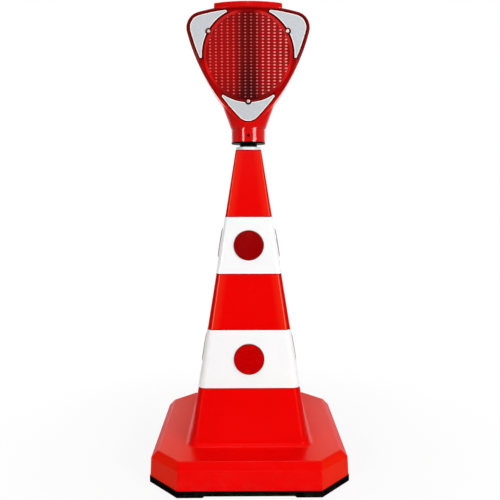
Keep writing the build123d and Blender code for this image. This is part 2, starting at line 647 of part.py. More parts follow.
def make_battery_holder():
    """Cradle with a back wall, end plates, and four posts that carry the control board."""
    wall_depth = CRADLE_WALL
    wall = Pos(0, CRADLE_BACK - wall_depth / 2, CELL_LOW) * Box(2 * CRADLE_HALF_WIDTH - 8, wall_depth, CELL_LENGTH,
                                                                align=UPWARDS)
    cradle = cradle_plate(PLUG_TOP) + wall + cradle_plate(CELL_HIGH)
    post_low = CELL_HIGH + CRADLE_WALL
    posts = [Pos(x, y, 0) * disc(2.5, CONTROL_BOARD_LOW - post_low, post_low) for x in (-20, 20) for y in (-7, 8)]
    return cradle + posts


def make_battery_cells():
    """Three cells side by side, each with its raised contact."""
    cell = disc(CELL_RADIUS, CELL_LENGTH - 1.5)
    cell = fillet(cell.edges(), 0.8) + disc(3.0, CELL_LENGTH)
    return [Pos(column * CELL_PITCH, 0, CELL_LOW) * cell for column in (-1, 0, 1)]


def make_controller_board():
    return extrude(Pos(0, 0, CONTROL_BOARD_LOW) * RectangleRounded(56, 34, 3), BOARD_THICKNESS)


def make_controller_parts():
    """Capacitor and control chip, inside the foot of the post."""
    capacitor = disc(4.0, 9.0)
    capacitor = fillet(capacitor.edges().sort_by(Axis.Z)[-1:], 0.8)
    chip = Box(8, 6, 1.8, align=UPWARDS)
    return [Pos(-10, 0, COLUMN_BOTTOM) * capacitor, Pos(10, 0, COLUMN_BOTTOM) * chip]


# Switch: a button through the collar that presses on a switch standing on the plug

BUTTON_TRAVEL = 1.6
BUTTON_FRONT = -(COLLAR_RADIUS + 0.5)
BUTTON_COLLAR = -36.3
BUTTON_COLLAR_RADIUS = 5.0
BUTTON_END = -33.2
SWITCH_FRONT = BUTTON_END + BUTTON_TRAVEL + 0.4
SWITCH_DEPTH = 8.0
SWITCH_TOP = BUTTON_Z + 5.0


def make_switch_button():
    """Black button: domed cap, a collar that keeps it in the case, and a stem."""
    cap = disc(BUTTON_RADIUS, BUTTON_COLLAR - BUTTON_FRONT)
    cap = fillet(cap.edges().sort_by(Axis.Z)[-1:], 0.8)
    stem = disc(2.0, BUTTON_END - BUTTON_COLLAR, align=DOWNWARDS)
    collar = disc(BUTTON_COLLAR_RADIUS, 1.2, align=DOWNWARDS)
    facing = Plane(origin=(0, BUTTON_COLLAR, BUTTON_Z), x_dir=(1, 0, 0), z_dir=(0, -1, 0))
    return facing * (cap + stem + collar)


def make_switch_body():
    height = SWITCH_TOP - PLUG_TOP
    body = Pos(0, SWITCH_FRONT + SWITCH_DEPTH / 2, PLUG_TOP) * Box(12, SWITCH_DEPTH, height, align=UPWARDS)
    return fillet(body.edges().filter_by(Axis.Z), 1)


# Wires inside the case

SOLAR_LEAD_RADIUS = 1.6
SWITCH_LEAD_RADIUS = 1.2
BATTERY_LEAD_RADIUS = 0.9


def make_solar_lead():
    """Lead down the hollow post from the panel to the control board."""
    return disc(SOLAR_LEAD_RADIUS, PANEL_FLOOR - COLUMN_BOTTOM, COLUMN_BOTTOM)


def make_switch_lead():
    """Lead up in front of the cells, from the switch to the control board's front edge."""
    switch_y = SWITCH_FRONT + SWITCH_DEPTH / 2
    board_y = -14.5
    rise = 24.0
    path = FilletPolyline((0, switch_y, SWITCH_TOP), (0, switch_y, SWITCH_TOP + rise),
                          (0, board_y, CONTROL_BOARD_LOW - rise), (0, board_y, CONTROL_BOARD_LOW), radius=40)
    section = Plane(origin=(0, switch_y, SWITCH_TOP), z_dir=(0, 0, 1)) * Circle(SWITCH_LEAD_RADIUS)
    return sweep(section, path)


def make_battery_leads():
    low = CELL_HIGH + CRADLE_WALL
    return [Pos(25, y, 0) * disc(BATTERY_LEAD_RADIUS, CONTROL_BOARD_LOW - low, low) for y in (-3, 3)]


def build():
    """All pieces by name."""
    front_housing = make_front_housing()
    lens = make_lens()
    gasket = make_lens_gasket()
    lens_screws = make_lens_screws()
    sheets = make_crescents()
    led_board = make_led_board()
    leds = make_leds()
    return {
        "cone_shell": make_cone_shell(),
        "rubber_base": make_rubber_base(),
        "base_screws": make_base_screws(),
        "upper_band": make_band(UPPER_BAND_MIDDLE),
        "lower_band": make_band(LOWER_BAND_MIDDLE),
        "upper_reflector_plates": make_reflector_plates(UPPER_BAND_MIDDLE),
        "lower_reflector_plates": make_reflector_plates(LOWER_BAND_MIDDLE),
        "upper_reflector_lenses": make_reflector_lenses(UPPER_BAND_MIDDLE),
        "lower_reflector_lenses": make_reflector_lenses(LOWER_BAND_MIDDLE),
        "swivel_bush": make_swivel_bush(),
        "bush_clip": make_bush_clip(),
        "front_housing": front_housing,
        "rear_housing": rear(housing_half()),
        "front_crescents": sheets,
        "rear_crescents": rear(sheets),
        "front_lens": lens,
        "rear_lens": rear(lens),
        "front_lens_gasket": gasket,
        "rear_lens_gasket": rear(gasket),
        "front_lens_screws": lens_screws,
        "rear_lens_screws": rear(lens_screws),
        "solar_tray": make_solar_tray(),
        "solar_panel": make_solar_panel(),
        "solar_seal": make_solar_seal(),
        "solar_window": make_solar_window(),
        "tray_screws": make_tray_screws(),
        "led_column": make_led_column(),
        "front_led_board": led_board,
        "rear_led_board": rear(led_board),
        "front_leds": leds,
        "rear_leds": rear(leds),
        "spigot_plug": make_spigot_plug(),
        "plug_seal": make_plug_seal(),
        "battery_holder": make_battery_holder(),
        "battery_cells": make_battery_cells(),
        "controller_board": make_controller_board(),
        "controller_parts": make_controller_parts(),
        "switch_button": make_switch_button(),
        "switch_body": make_switch_body(),
        "solar_lead": make_solar_lead(),
        "switch_lead": make_switch_lead(),
        "battery_leads": make_battery_leads(),
    }


if __name__ == "__main__":
    os.makedirs("parts", exist_ok=True)
    for name, shape in build().items():
        solids = shape if isinstance(shape, list) else [shape]
        node = Compound(label=name, children=[solid.solid() for solid in solids]) if len(solids) > 1 else solids[0]
        print(f"{name:24s} {len(node.solids())} solids {node.volume:12.1f} mm3 valid {node.is_valid}")
        export_step(node, f"parts/{name}.step")
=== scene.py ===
"""Looks of the traffic cone with warning light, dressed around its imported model.

Metres, +Z up, the lamp's front towards -Y. The sections follow the object as it is put together.
"""

from collections import Counter
from math import asin, atan2, ceil, cos, hypot, radians, sin, sqrt

import bmesh
import bpy
from mathutils import Matrix, Vector


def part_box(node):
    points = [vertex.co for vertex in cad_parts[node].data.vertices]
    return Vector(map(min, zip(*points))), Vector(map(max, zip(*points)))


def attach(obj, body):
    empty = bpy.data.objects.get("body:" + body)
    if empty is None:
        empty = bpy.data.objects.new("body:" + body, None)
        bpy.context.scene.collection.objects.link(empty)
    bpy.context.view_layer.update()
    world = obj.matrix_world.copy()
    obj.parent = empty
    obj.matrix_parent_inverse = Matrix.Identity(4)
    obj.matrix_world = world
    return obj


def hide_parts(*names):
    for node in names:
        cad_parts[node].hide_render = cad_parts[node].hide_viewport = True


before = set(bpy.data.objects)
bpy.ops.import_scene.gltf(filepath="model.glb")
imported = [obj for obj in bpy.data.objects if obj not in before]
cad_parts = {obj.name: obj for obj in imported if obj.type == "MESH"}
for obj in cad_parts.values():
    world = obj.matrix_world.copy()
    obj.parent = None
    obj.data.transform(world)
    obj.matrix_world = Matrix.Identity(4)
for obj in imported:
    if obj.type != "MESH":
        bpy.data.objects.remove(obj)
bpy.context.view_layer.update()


# Cone shell: a hollow moulding in bright red plastic, with base and pyramid in one piece.
# It leaves the mould with a satin skin, and its base picks up scuffs and dust from the road.
# Painted sheen lies on the base's tops and corner faces and beside the pyramid's corners, with painted shade
# round those corners and a painted highlight line down each one.

CONE_RED = (0.83, 0.0008, 0.0004, 1.0)
CONE_RUB_AND_HIGHLIGHT = (0.95, 0.05, 0.02, 1.0)
CONE_GLOSS = (0.035, 0.085)
ROAD_DUST = (0.30, 0.20, 0.15, 1.0)
DUST_TOP = 0.085
EDGE_SHADE_LINE = (0.34, 0.0005, 0.0004, 1.0)
EDGE_SHADE_REACH = (0.0012, 0.0028)
BASE_SHEEN = (0.83, 0.021, 0.0008, 1.0)
FACING_UP = (0.80, 0.97)
FACING_CORNER = (0.43, 0.70)
SKIRT_SHEEN_SHARE = 0.65
SKIRT_TOP = (0.072, 0.076)
SIDE_TOPS = (0.115, 0.150)
PYRAMID_ENDS = (0.074, 0.750)
PYRAMID_FOOT = (0.090, 0.100)
FLAT_HALVES = (0.1175, 0.025)
CORNER_RADII = (0.0205, 0.005)
CORNER_SHEEN = (0.83, 0.013, 0.004, 1.0)
SHEEN_REACH = (-0.017, -0.002)
PAINT_FOOT = (0.20, 0.34)
SHEEN_LOW = 0.0
CORNER_SHADE = (0.52, 0.001, 0.0006, 1.0)
CORNER_TURN = (0.36, 0.55)
SHADE_LOW = 0.45
CORNER_HIGHLIGHT = (0.92, 0.12, 0.06, 1.0)
LINE_MIDDLE = 0.26
LINE_SPREAD = (0.03, 0.11)
HIGHLIGHT_LOW = 0.08


def feed(tree, socket, source):
    """Joins an output to a socket, or sets the socket's own value."""
    if isinstance(source, bpy.types.NodeSocket):
        tree.links.new(source, socket)
    else:
        socket.default_value = source


def wire(tree, shader, **sources):
    """Feeds the named inputs of a shader."""
    for socket, source in sources.items():
        feed(tree, shader.inputs[socket.replace("_", " ")], source)


def add(tree, kind, sources=(), **settings):
    """Adds a node with its settings, and feeds its sockets by name or number."""
    node = tree.nodes.new("ShaderNode" + kind)
    for setting, value in settings.items():
        setattr(node, setting, value)
    for socket, source in dict(sources).items():
        feed(tree, node.inputs[socket], source)
    return node


def spot_on(tree):
    """Place on the surface, in the object's own frame."""
    return add(tree, "TexCoord").outputs["Object"]


def axes_of(tree, vector):
    """The X, Y and Z of a vector."""
    return add(tree, "SeparateXYZ", {0: vector}).outputs


def mixed(tree, share, first, second, blend="MIX"):
    """Colour between two colours."""
    sources = {0: share, 6: first, 7: second}
    return add(tree, "Mix", sources, data_type="RGBA", blend_type=blend).outputs[2]


def sums(tree, operation, first, second=0.0):
    """Result of one operation on one or two values."""
    return add(tree, "Math", {0: first, 1: second}, operation=operation).outputs[0]


def absolute(tree, value):
    return sums(tree, "ABSOLUTE", value)


def times(tree, product, *factors):
    """Product of two or more values."""
    for factor in factors:
        product = sums(tree, "MULTIPLY", product, factor)
    return product


def vectors(tree, operation, *sources):
    """Outputs of one operation on vectors: 0 is the new vector, "Value" a plain number."""
    return add(tree, "VectorMath", dict(enumerate(sources)), operation=operation).outputs


def ranged(tree, value, low, high, start=0.0, end=1.0):
    """Value mapped from one range to another, and held at its ends."""
    sources = {"Value": value, "From Min": low, "From Max": high, "To Min": start, "To Max": end}
    return add(tree, "MapRange", sources).outputs["Result"]


def noise(tree, place, scale, detail=2.0, rough=0.5):
    """Cloudy value between 0 and 1."""
    sources = {"Vector": place, "Scale": scale, "Detail": detail, "Roughness": rough}
    return add(tree, "TexNoise", sources).outputs["Fac"]


def start_group(name, takes, gives):
    """New shader group with its tree, its inputs and its outputs."""
    tree = bpy.data.node_groups.new(name, "ShaderNodeTree")
    for side, sockets in (("INPUT", takes), ("OUTPUT", gives)):
        for socket, kind in sockets.items():
            tree.interface.new_socket(name=socket, in_out=side, socket_type="NodeSocket" + kind)
    return tree, tree.nodes.new("NodeGroupInput").outputs, tree.nodes.new("NodeGroupOutput").inputs


def use(tree, group, **sources):
    """Places a shader group and returns its outputs."""
    sources = {socket.replace("_", " "): source for socket, source in sources.items()}
    return add(tree, "Group", sources, node_tree=group).outputs


def cover(piece, *materials):
    """Gives a piece its materials. A new mesh keeps the slots of its faces, as it has nothing to clear."""
    if piece.data.materials:
        piece.data.materials.clear()
    for material in materials:
        piece.data.materials.append(material)


def start_material(name, nodes=(), **values):
    """New material on the given CAD nodes. Returns it with its tree and its Principled shader."""
    material = bpy.data.materials.new(name)
    material.use_nodes = True
    for node in nodes:
        cover(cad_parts[node], material)
    shader = material.node_tree.nodes["Principled BSDF"]
    wire(material.node_tree, shader, **values)
    return material, material.node_tree, shader


def emboss(tree, shader, height, depth):
    """Bump from a height between 0 and 1, as deep as `depth`."""
    bump = add(tree, "Bump", {"Height": height, "Distance": depth, "Strength": 1.0})
    wire(tree, shader, Normal=bump.outputs["Normal"])


# Moulded plastic: colour that drifts a little, uneven gloss and a fine orange-peel surface
DRIFT_TINT = (0.62, 0.55, 0.55, 1.0)
DRIFT_EDGE = (0.3, 0.7)
STREAK_STRETCH = (1.0, 1.0, 0.25)

moulded_skin, takes, gives = start_group(
    "moulded_skin",
    {"Colour": "Color", "Drift": "Float", "Roughness": "Float", "Gloss Spread": "Float", "Peel": "Float"},
    {"Colour": "Color", "Roughness": "Float", "Height": "Float"})
tree = moulded_skin
spot = spot_on(tree)
cloud = ranged(tree, noise(tree, spot, scale=7.0, detail=4.0), *DRIFT_EDGE)
deeper = mixed(tree, 1.0, takes["Colour"], DRIFT_TINT, "MULTIPLY")
feed(tree, gives["Colour"], mixed(tree, times(tree, cloud, takes["Drift"]), takes["Colour"], deeper))
drawn_out = vectors(tree, "MULTIPLY", spot, STREAK_STRETCH)[0]
streak = noise(tree, drawn_out, scale=48.0, detail=5.0, rough=0.6)
uneven = times(tree, sums(tree, "SUBTRACT", streak, 0.5), takes["Gloss Spread"])
feed(tree, gives["Roughness"], sums(tree, "ADD", takes["Roughness"], uneven))
feed(tree, gives["Height"], noise(tree, spot, takes["Peel"], detail=1.0))

# Dust and splashes that settle near the ground and thin out upwards
SPLASH_EDGE = (0.47, 0.72)

road_dust, takes, gives = start_group(
    "road_dust",
    {"Colour": "Color", "Dust": "Color", "Top": "Float", "Amount": "Float"},
    {"Colour": "Color", "Mask": "Float"})
tree = road_dust
spot = spot_on(tree)
near_ground = ranged(tree, axes_of(tree, spot)["Z"], 0.0, takes["Top"], 1.0, 0.0)
splash = ranged(tree, noise(tree, spot, scale=46.0, detail=6.0, rough=0.68), *SPLASH_EDGE)
settled = times(tree, near_ground, splash, takes["Amount"])
feed(tree, gives["Colour"], mixed(tree, settled, takes["Colour"], takes["Dust"]))
feed(tree, gives["Mask"], settled)

# Hairline scratches in two directions, from stacking and handling
SCRATCHES = ((radians(24), (1.0, 30.0, 1.6)), (radians(-38), (1.4, 1.4, 36.0)))
SCRATCH_EDGE = (0.68, 0.76)

hairlines, takes, gives = start_group("hairlines", {"Size": "Float", "Amount": "Float"}, {"Mask": "Float"})
tree = hairlines
spot = add(tree, "VectorMath", {0: spot_on(tree), "Scale": takes["Size"]}, operation="SCALE").outputs[0]
lines = []
for turn, stretch in SCRATCHES:
    laid = add(tree, "Mapping", {"Vector": spot, "Rotation": (turn, turn, turn / 2), "Scale": stretch})
    lines.append(ranged(tree, noise(tree, laid.outputs[0], scale=1.0), *SCRATCH_EDGE))
feed(tree, gives["Mask"], times(tree, sums(tree, "MAXIMUM", *lines), takes["Amount"]))

# Edges painted paler, partly wear from rubbing and partly a painted highlight, found where a rounded normal
# leaves the true one
EDGE_TURN = (0.985, 0.86)

edge_rub_and_highlight, takes, gives = start_group("edge_rub_and_highlight", {"Width": "Float", "Amount": "Float"}, {"Mask": "Float"})
tree = edge_rub_and_highlight
rounded = add(tree, "Bevel", {"Radius": takes["Width"]}, samples=4).outputs[0]
facing = vectors(tree, "DOT_PRODUCT", rounded, add(tree, "NewGeometry").outputs["Normal"])["Value"]
feed(tree, gives["Mask"], times(tree, ranged(tree, facing, *EDGE_TURN), takes["Amount"]))

_, tree, shader = start_material("cone_red_plastic", ["cone_shell"], Specular_IOR_Level=0.025,
                                 Coat_Roughness=0.24)
skin = use(tree, moulded_skin, Colour=CONE_RED, Drift=0.10, Roughness=0.33, Gloss_Spread=0.16, Peel=700.0)
dusty = use(tree, road_dust, Colour=skin["Colour"], Dust=ROAD_DUST, Top=DUST_TOP, Amount=0.05)
coordinates = add(tree, "TexCoord").outputs
place = axes_of(tree, coordinates["Object"])
height = place["Z"]
sideways, forwards = absolute(tree, place["X"]), absolute(tree, place["Y"])
facing = axes_of(tree, coordinates["Normal"])
upward = ranged(tree, facing["Z"], *FACING_UP)

# Painted sheen on the base's corner faces, and on its top beside the pyramid
diagonal = sums(tree, "MINIMUM", absolute(tree, facing["X"]), absolute(tree, facing["Y"]))
skirt_corner = times(tree, ranged(tree, diagonal, *FACING_CORNER, 0.0, SKIRT_SHEEN_SHARE),
                     ranged(tree, height, *SKIRT_TOP, 1.0, 0.0))
side_top = times(tree, upward, ranged(tree, sideways, *SIDE_TOPS))
painted_sheen = times(tree, sums(tree, "MAXIMUM", side_top, skirt_corner),
               ranged(tree, height, *PYRAMID_FOOT, 1.0, 0.0))
dust_and_painted_light = mixed(tree, painted_sheen, dusty["Colour"], BASE_SHEEN)

# The pyramid's corners: painted sheen beside them, painted shade round them and a painted highlight line
# along them, less below the bands
past_flat = sums(tree, "SUBTRACT", sums(tree, "MINIMUM", sideways, forwards),
                 ranged(tree, height, *PYRAMID_ENDS, *FLAT_HALVES))
round_share = sums(tree, "DIVIDE", past_flat, ranged(tree, height, *PYRAMID_ENDS, *CORNER_RADII))
to_line = absolute(tree, sums(tree, "SUBTRACT", round_share, LINE_MIDDLE))
on_pyramid = ranged(tree, height, *PYRAMID_FOOT)
for share, low_share, colour in (
        (ranged(tree, past_flat, *SHEEN_REACH), SHEEN_LOW, CORNER_SHEEN),
        (ranged(tree, round_share, *CORNER_TURN), SHADE_LOW, CORNER_SHADE),
        (ranged(tree, to_line, *LINE_SPREAD, 1.0, 0.0), HIGHLIGHT_LOW, CORNER_HIGHLIGHT)):
    upper_share = ranged(tree, height, *PAINT_FOOT, low_share, 1.0)
    dust_and_painted_light = mixed(tree, times(tree, share, on_pyramid, upper_share), dust_and_painted_light, colour)

# Painted shade along the edges of the bands and of the top
edges = [corner.z for node in ("upper_band", "lower_band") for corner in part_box(node)]
edges.append(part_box("cone_shell")[1].z)
to_edge = 1.0
for edge in edges:
    to_edge = sums(tree, "MINIMUM", to_edge, absolute(tree, sums(tree, "SUBTRACT", height, edge)))
lined = mixed(tree, ranged(tree, to_edge, *EDGE_SHADE_REACH, 1.0, 0.0), dust_and_painted_light, EDGE_SHADE_LINE)

# Paler edges: wear, and a painted highlight along them
rub_and_highlight = use(tree, edge_rub_and_highlight, Width=0.0025, Amount=0.10)
scuffed = use(tree, hairlines, Size=16.0, Amount=0.10)
paler = sums(tree, "MAXIMUM", rub_and_highlight["Mask"], scuffed["Mask"])
wire(tree, shader, Base_Color=mixed(tree, paler, lined, CONE_RUB_AND_HIGHLIGHT),
     Roughness=sums(tree, "ADD", skin["Roughness"], dusty["Mask"]),
     Coat_Weight=ranged(tree, upward, 0.0, 1.0, *CONE_GLOSS))
emboss(tree, shader, skin["Height"], depth=0.00005)


# Rubber base: heavy black ring of recycled rubber, pressed in one piece with its corner feet.
# Its lip grips the shell's skirt from inside, and its lower edges are grey with road dirt.

RUBBER_BLACK = (0.003, 0.0016, 0.0014, 1.0)
RUBBER_DIRT = (0.034, 0.027, 0.023, 1.0)
RUBBER_DIRT_TOP = 0.018

_, tree, shader = start_material("rubber_black", ["rubber_base"], Specular_IOR_Level=0.0)
skin = use(tree, moulded_skin, Colour=RUBBER_BLACK, Drift=0.5, Roughness=0.72, Gloss_Spread=0.3, Peel=420.0)
dusty = use(tree, road_dust, Colour=skin["Colour"], Dust=RUBBER_DIRT, Top=RUBBER_DIRT_TOP, Amount=0.75)
rub_and_highlight = use(tree, edge_rub_and_highlight, Width=0.0020, Amount=0.7)
wire(tree, shader, Base_Color=mixed(tree, rub_and_highlight["Mask"], dusty["Colour"], RUBBER_DIRT),
     Roughness=skin["Roughness"])
emboss(tree, shader, skin["Height"], depth=0.00035)


# Screws: zinc-plated steel, turned and rolled. They go from below into the shell and from outside
# into the lamp. The spring clip under the cone's top plate is the same plated steel.

ZINC = (0.86, 0.80, 0.70, 1.0)
ZINC_DULL = (0.52, 0.48, 0.42, 1.0)
ZINC_STAIN = (0.42, 0.75)
ZINC_ROUGHNESS = (0.28, 0.5)

_, tree, shader = start_material(
    "zinc_plate", ["base_screws", "front_lens_screws", "rear_lens_screws", "tray_screws", "bush_clip"],
    Metallic=0.75)
spot = spot_on(tree)
stain = ranged(tree, noise(tree, spot, scale=330.0, detail=4.0, rough=0.6), *ZINC_STAIN)
wire(tree, shader, Base_Color=mixed(tree, stain, ZINC, ZINC_DULL),
     Roughness=ranged(tree, stain, 0.0, 1.0, *ZINC_ROUGHNESS))
emboss(tree, shader, noise(tree, spot, scale=2600.0), depth=0.00002)


# Reflective bands: white prismatic sheeting, cut as a wrap and glued round the pyramid.
# Its face shows a fine honeycomb of sealed cells under a smooth clear film.

SHEETING_WHITE = (0.95, 0.95, 0.95, 1.0)
SHEETING_SEAM = (0.86, 0.87, 0.88, 1.0)
SHEETING_CELL = 0.0042
SHEETING_ROUGHNESS = (0.42, 0.5)
SEAM_SHARE = 0.35
CELL_SHARE = 0.18


def length(tree, vector):
    return vectors(tree, "LENGTH", vector)["Value"]


# Honeycomb drawn on upright faces: cell walls, and one value for each cell
HALF_STEP = (0.5, sqrt(3) / 2, 0.5)
OTHER_HALF = tuple(-step for step in HALF_STEP)
WALL_EDGE = (0.42, 0.49)
CELL_SNAP = (0.25, 0.25, 0.25)

prism_cells, takes, gives = start_group(
    "prism_cells", {"Cell Size": "Float"}, {"Wall": "Float", "Cell": "Float"})
tree = prism_cells
coordinates = add(tree, "TexCoord").outputs
spot = axes_of(tree, coordinates["Object"])
facing = axes_of(tree, coordinates["Normal"])
on_side = sums(tree, "GREATER_THAN", absolute(tree, facing["X"]), absolute(tree, facing["Y"]))
across = add(tree, "Mix", {0: on_side, 2: spot["X"], 3: spot["Y"]}).outputs[0]
flat = add(tree, "CombineXYZ", {"X": across, "Y": spot["Z"]}).outputs[0]
cell_size = add(tree, "CombineXYZ", {axis: takes["Cell Size"] for axis in "XYZ"}).outputs[0]
cells = vectors(tree, "DIVIDE", flat, cell_size)[0]
even_row = vectors(tree, "WRAP", cells, HALF_STEP, OTHER_HALF)[0]
odd_row = vectors(tree, "WRAP", vectors(tree, "ADD", cells, HALF_STEP)[0], HALF_STEP, OTHER_HALF)[0]
nearer = sums(tree, "LESS_THAN", length(tree, even_row), length(tree, odd_row))
offset = add(tree, "Mix", {0: nearer, 4: odd_row, 5: even_row}, data_type="VECTOR").outputs[1]
away = axes_of(tree, vectors(tree, "ABSOLUTE", offset)[0])
slanted = sums(tree, "ADD", times(tree, away["X"], HALF_STEP[0]), times(tree, away["Y"], HALF_STEP[1]))
feed(tree, gives["Wall"], ranged(tree, sums(tree, "MAXIMUM", away["X"], slanted), *WALL_EDGE))
cell_middle = vectors(tree, "SNAP", vectors(tree, "SUBTRACT", cells, offset)[0], CELL_SNAP)[0]
feed(tree, gives["Cell"], add(tree, "TexWhiteNoise", {"Vector": cell_middle}).outputs["Value"])

_, tree, shader = start_material("white_sheeting", ["upper_band", "lower_band"],
                                 Coat_Weight=0.3, Coat_Roughness=0.08)
prisms = use(tree, prism_cells, Cell_Size=SHEETING_CELL)
scuffed = use(tree, hairlines, Size=20.0, Amount=0.25)
seam = sums(tree, "MAXIMUM", times(tree, prisms["Wall"], SEAM_SHARE), times(tree, prisms["Cell"], CELL_SHARE))
greyer = sums(tree, "MAXIMUM", seam, scuffed["Mask"])
wire(tree, shader, Base_Color=mixed(tree, greyer, SHEETING_WHITE, SHEETING_SEAM),
     Roughness=ranged(tree, prisms["Cell"], 0.0, 1.0, *SHEETING_ROUGHNESS))
emboss(tree, shader, prisms["Wall"], depth=0.00004)


# Round reflectors: a grey backing plate glued on each face of both bands, with a red disc pressed on it.
# The disc is clear red acrylic, smooth outside, with a honeycomb of prisms moulded on the inside.

PLATE_GREY = (0.50, 0.51, 0.52, 1.0)
REFLECTOR_RED = (0.73, 0.0, 0.0003, 1.0)
UPPER_SHADED_RED = (0.31, 0.0, 0.0003, 1.0)
REFLECTOR_DEEP = (0.26, 0.0, 0.0005, 1.0)
REFLECTOR_RIM = (0.10, 0.0, 0.0004, 1.0)
REFLECTOR_ROUGHNESS = 0.16
REFLECTOR_CELL = 0.0026
BETWEEN_BANDS = (0.38, 0.42)
TILT_SHARE = 0.45
RIM_SHARE = (0.93, 0.985)
RIM_STRENGTH = 0.8


def plain_plastic(name, nodes, colour, roughness, peel, drift=0.3, spread=0.2, depth=0.00004, shine=0.03,
                  **values):
    """Moulded plastic that needs no more than its skin."""
    _, tree, shader = start_material(name, nodes, Specular_IOR_Level=shine, **values)
    skin = use(tree, moulded_skin, Colour=colour, Drift=drift, Roughness=roughness, Gloss_Spread=spread,
               Peel=peel)
    wire(tree, shader, Base_Color=skin["Colour"], Roughness=skin["Roughness"])
    emboss(tree, shader, skin["Height"], depth)


plain_plastic("plate_grey", ["upper_reflector_plates", "lower_reflector_plates"], PLATE_GREY,
              roughness=0.45, peel=900.0, drift=0.25, depth=0.00003, shine=0.5)

discs = ["upper_reflector_lenses", "lower_reflector_lenses"]
_, tree, shader = start_material("reflector_red", discs, Specular_IOR_Level=0.04, Coat_Weight=0.08,
                                 Coat_Roughness=0.03)
prisms = use(tree, prism_cells, Cell_Size=REFLECTOR_CELL)
tilt = times(tree, prisms["Cell"], TILT_SHARE)
place = axes_of(tree, spot_on(tree))
# The upper discs get a darker red: painted shade
acrylic = mixed(tree, ranged(tree, place["Z"], *BETWEEN_BANDS), REFLECTOR_RED, UPPER_SHADED_RED)
facets = mixed(tree, sums(tree, "MAXIMUM", prisms["Wall"], tilt), acrylic, REFLECTOR_DEEP)
upwards = 1.0
for node in discs:
    disc_low, disc_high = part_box(node)
    from_middle = sums(tree, "SUBTRACT", place["Z"], (disc_low.z + disc_high.z) / 2)
    upwards = sums(tree, "MINIMUM", upwards, absolute(tree, from_middle))
sideways = sums(tree, "MINIMUM", absolute(tree, place["X"]), absolute(tree, place["Y"]))
on_disc = add(tree, "CombineXYZ", {"X": sideways, "Y": upwards}).outputs[0]
disc_share = sums(tree, "DIVIDE", length(tree, on_disc), (disc_high.z - disc_low.z) / 2)
rim = times(tree, ranged(tree, disc_share, *RIM_SHARE), RIM_STRENGTH)
scuffed = use(tree, hairlines, Size=26.0, Amount=0.2)
wire(tree, shader, Base_Color=mixed(tree, rim, facets, REFLECTOR_RIM),
     Roughness=sums(tree, "ADD", scuffed["Mask"], REFLECTOR_ROUGHNESS))
emboss(tree, shader, prisms["Wall"], depth=0.00006)


# Swivel bush: a turned cup of white nylon that sits in the cone's top plate.
# A spring clip holds it from below, and the lamp's spigot drops into it from above.

NYLON_WHITE = (0.93, 0.93, 0.92, 1.0)

plain_plastic("nylon_white", ["swivel_bush"], NYLON_WHITE, roughness=0.38, peel=1200.0, drift=0.08,
              spread=0.15, depth=0.00002, shine=0.5, Subsurface_Weight=0.1)


# Spigot plug: black moulded closure of the lamp's collar, in one piece with the spigot below it.
# The switch's button is the same black. Rubber seals the plug and the window, and red silicone
# lies under both lenses.

PLUG_BLACK = (0.003, 0.0026, 0.0026, 1.0)
SEAL_BLACK = (0.016, 0.016, 0.016, 1.0)
SEAL_RED = (0.50, 0.006, 0.005, 1.0)

plain_plastic("plug_black", ["spigot_plug", "switch_button"], PLUG_BLACK, roughness=0.38, peel=900.0)
plain_plastic("seal_rubber", ["plug_seal", "solar_seal"], SEAL_BLACK, roughness=0.75, peel=1500.0)
plain_plastic("seal_silicone", ["front_lens_gasket", "rear_lens_gasket"], SEAL_RED,
              roughness=0.6, peel=1500.0)


# Supply in the neck: three wrapped cells in a black cradle, with the control board above them on posts.
# It is green-lacquered glass-fibre laminate, like the LED boards, and soft black leads join it to the rest.
# The post between the lenses and the switch's body are moulded in the cradle's black.

COLUMN_BLACK = (0.009, 0.008, 0.008, 1.0)
PARTS_BLACK = (0.02, 0.02, 0.022, 1.0)
CELL_WRAP = (0.020, 0.075, 0.300, 1.0)
LEAD_BLACK = (0.014, 0.014, 0.015, 1.0)
BOARD_GREEN = (0.012, 0.085, 0.035, 1.0)
BOARD_TRACK = (0.030, 0.150, 0.060, 1.0)
BOARD_ROUGHNESS = (0.22, 0.4)

plain_plastic("column_black", ["led_column", "battery_holder", "switch_body"], COLUMN_BLACK,
              roughness=0.55, peel=800.0)
plain_plastic("parts_black", ["controller_parts"], PARTS_BLACK, roughness=0.35, peel=1500.0)
plain_plastic("cell_wrap", ["battery_cells"], CELL_WRAP, roughness=0.30, peel=600.0)
plain_plastic("lead_black", ["solar_lead", "switch_lead", "battery_leads"], LEAD_BLACK,
              roughness=0.5, peel=2000.0)


def uneven_gloss(tree, spot, ends, scale):
    """Roughness that drifts between two values."""
    return ranged(tree, noise(tree, spot, scale), 0.0, 1.0, *ends)


_, tree, shader = start_material("board_green", ["front_led_board", "rear_led_board", "controller_board"])
spot = spot_on(tree)
tracks = add(tree, "TexBrick", {"Vector": spot, "Scale": 240.0, "Mortar Size": 0.06}).outputs["Fac"]
wire(tree, shader, Base_Color=mixed(tree, tracks, BOARD_GREEN, BOARD_TRACK),
     Roughness=uneven_gloss(tree, spot, BOARD_ROUGHNESS, scale=300.0))


# LEDs: domes of clear red epoxy, in two columns of six on the boards at the front and rear of the post.
# They are soldered to the boards, and dark while the lamp is off.

LED_RED = (0.16, 0.012, 0.010, 1.0)
LED_DEEP = (0.10, 0.008, 0.007, 1.0)
LED_ROUGHNESS = (0.08, 0.2)

_, tree, shader = start_material("led_epoxy", ["front_leds", "rear_leds"],
                                 Coat_Weight=0.5, Coat_Roughness=0.02)
spot = spot_on(tree)
wire(tree, shader, Base_Color=mixed(tree, noise(tree, spot, scale=500.0), LED_RED, LED_DEEP),
     Roughness=uneven_gloss(tree, spot, LED_ROUGHNESS, scale=900.0))
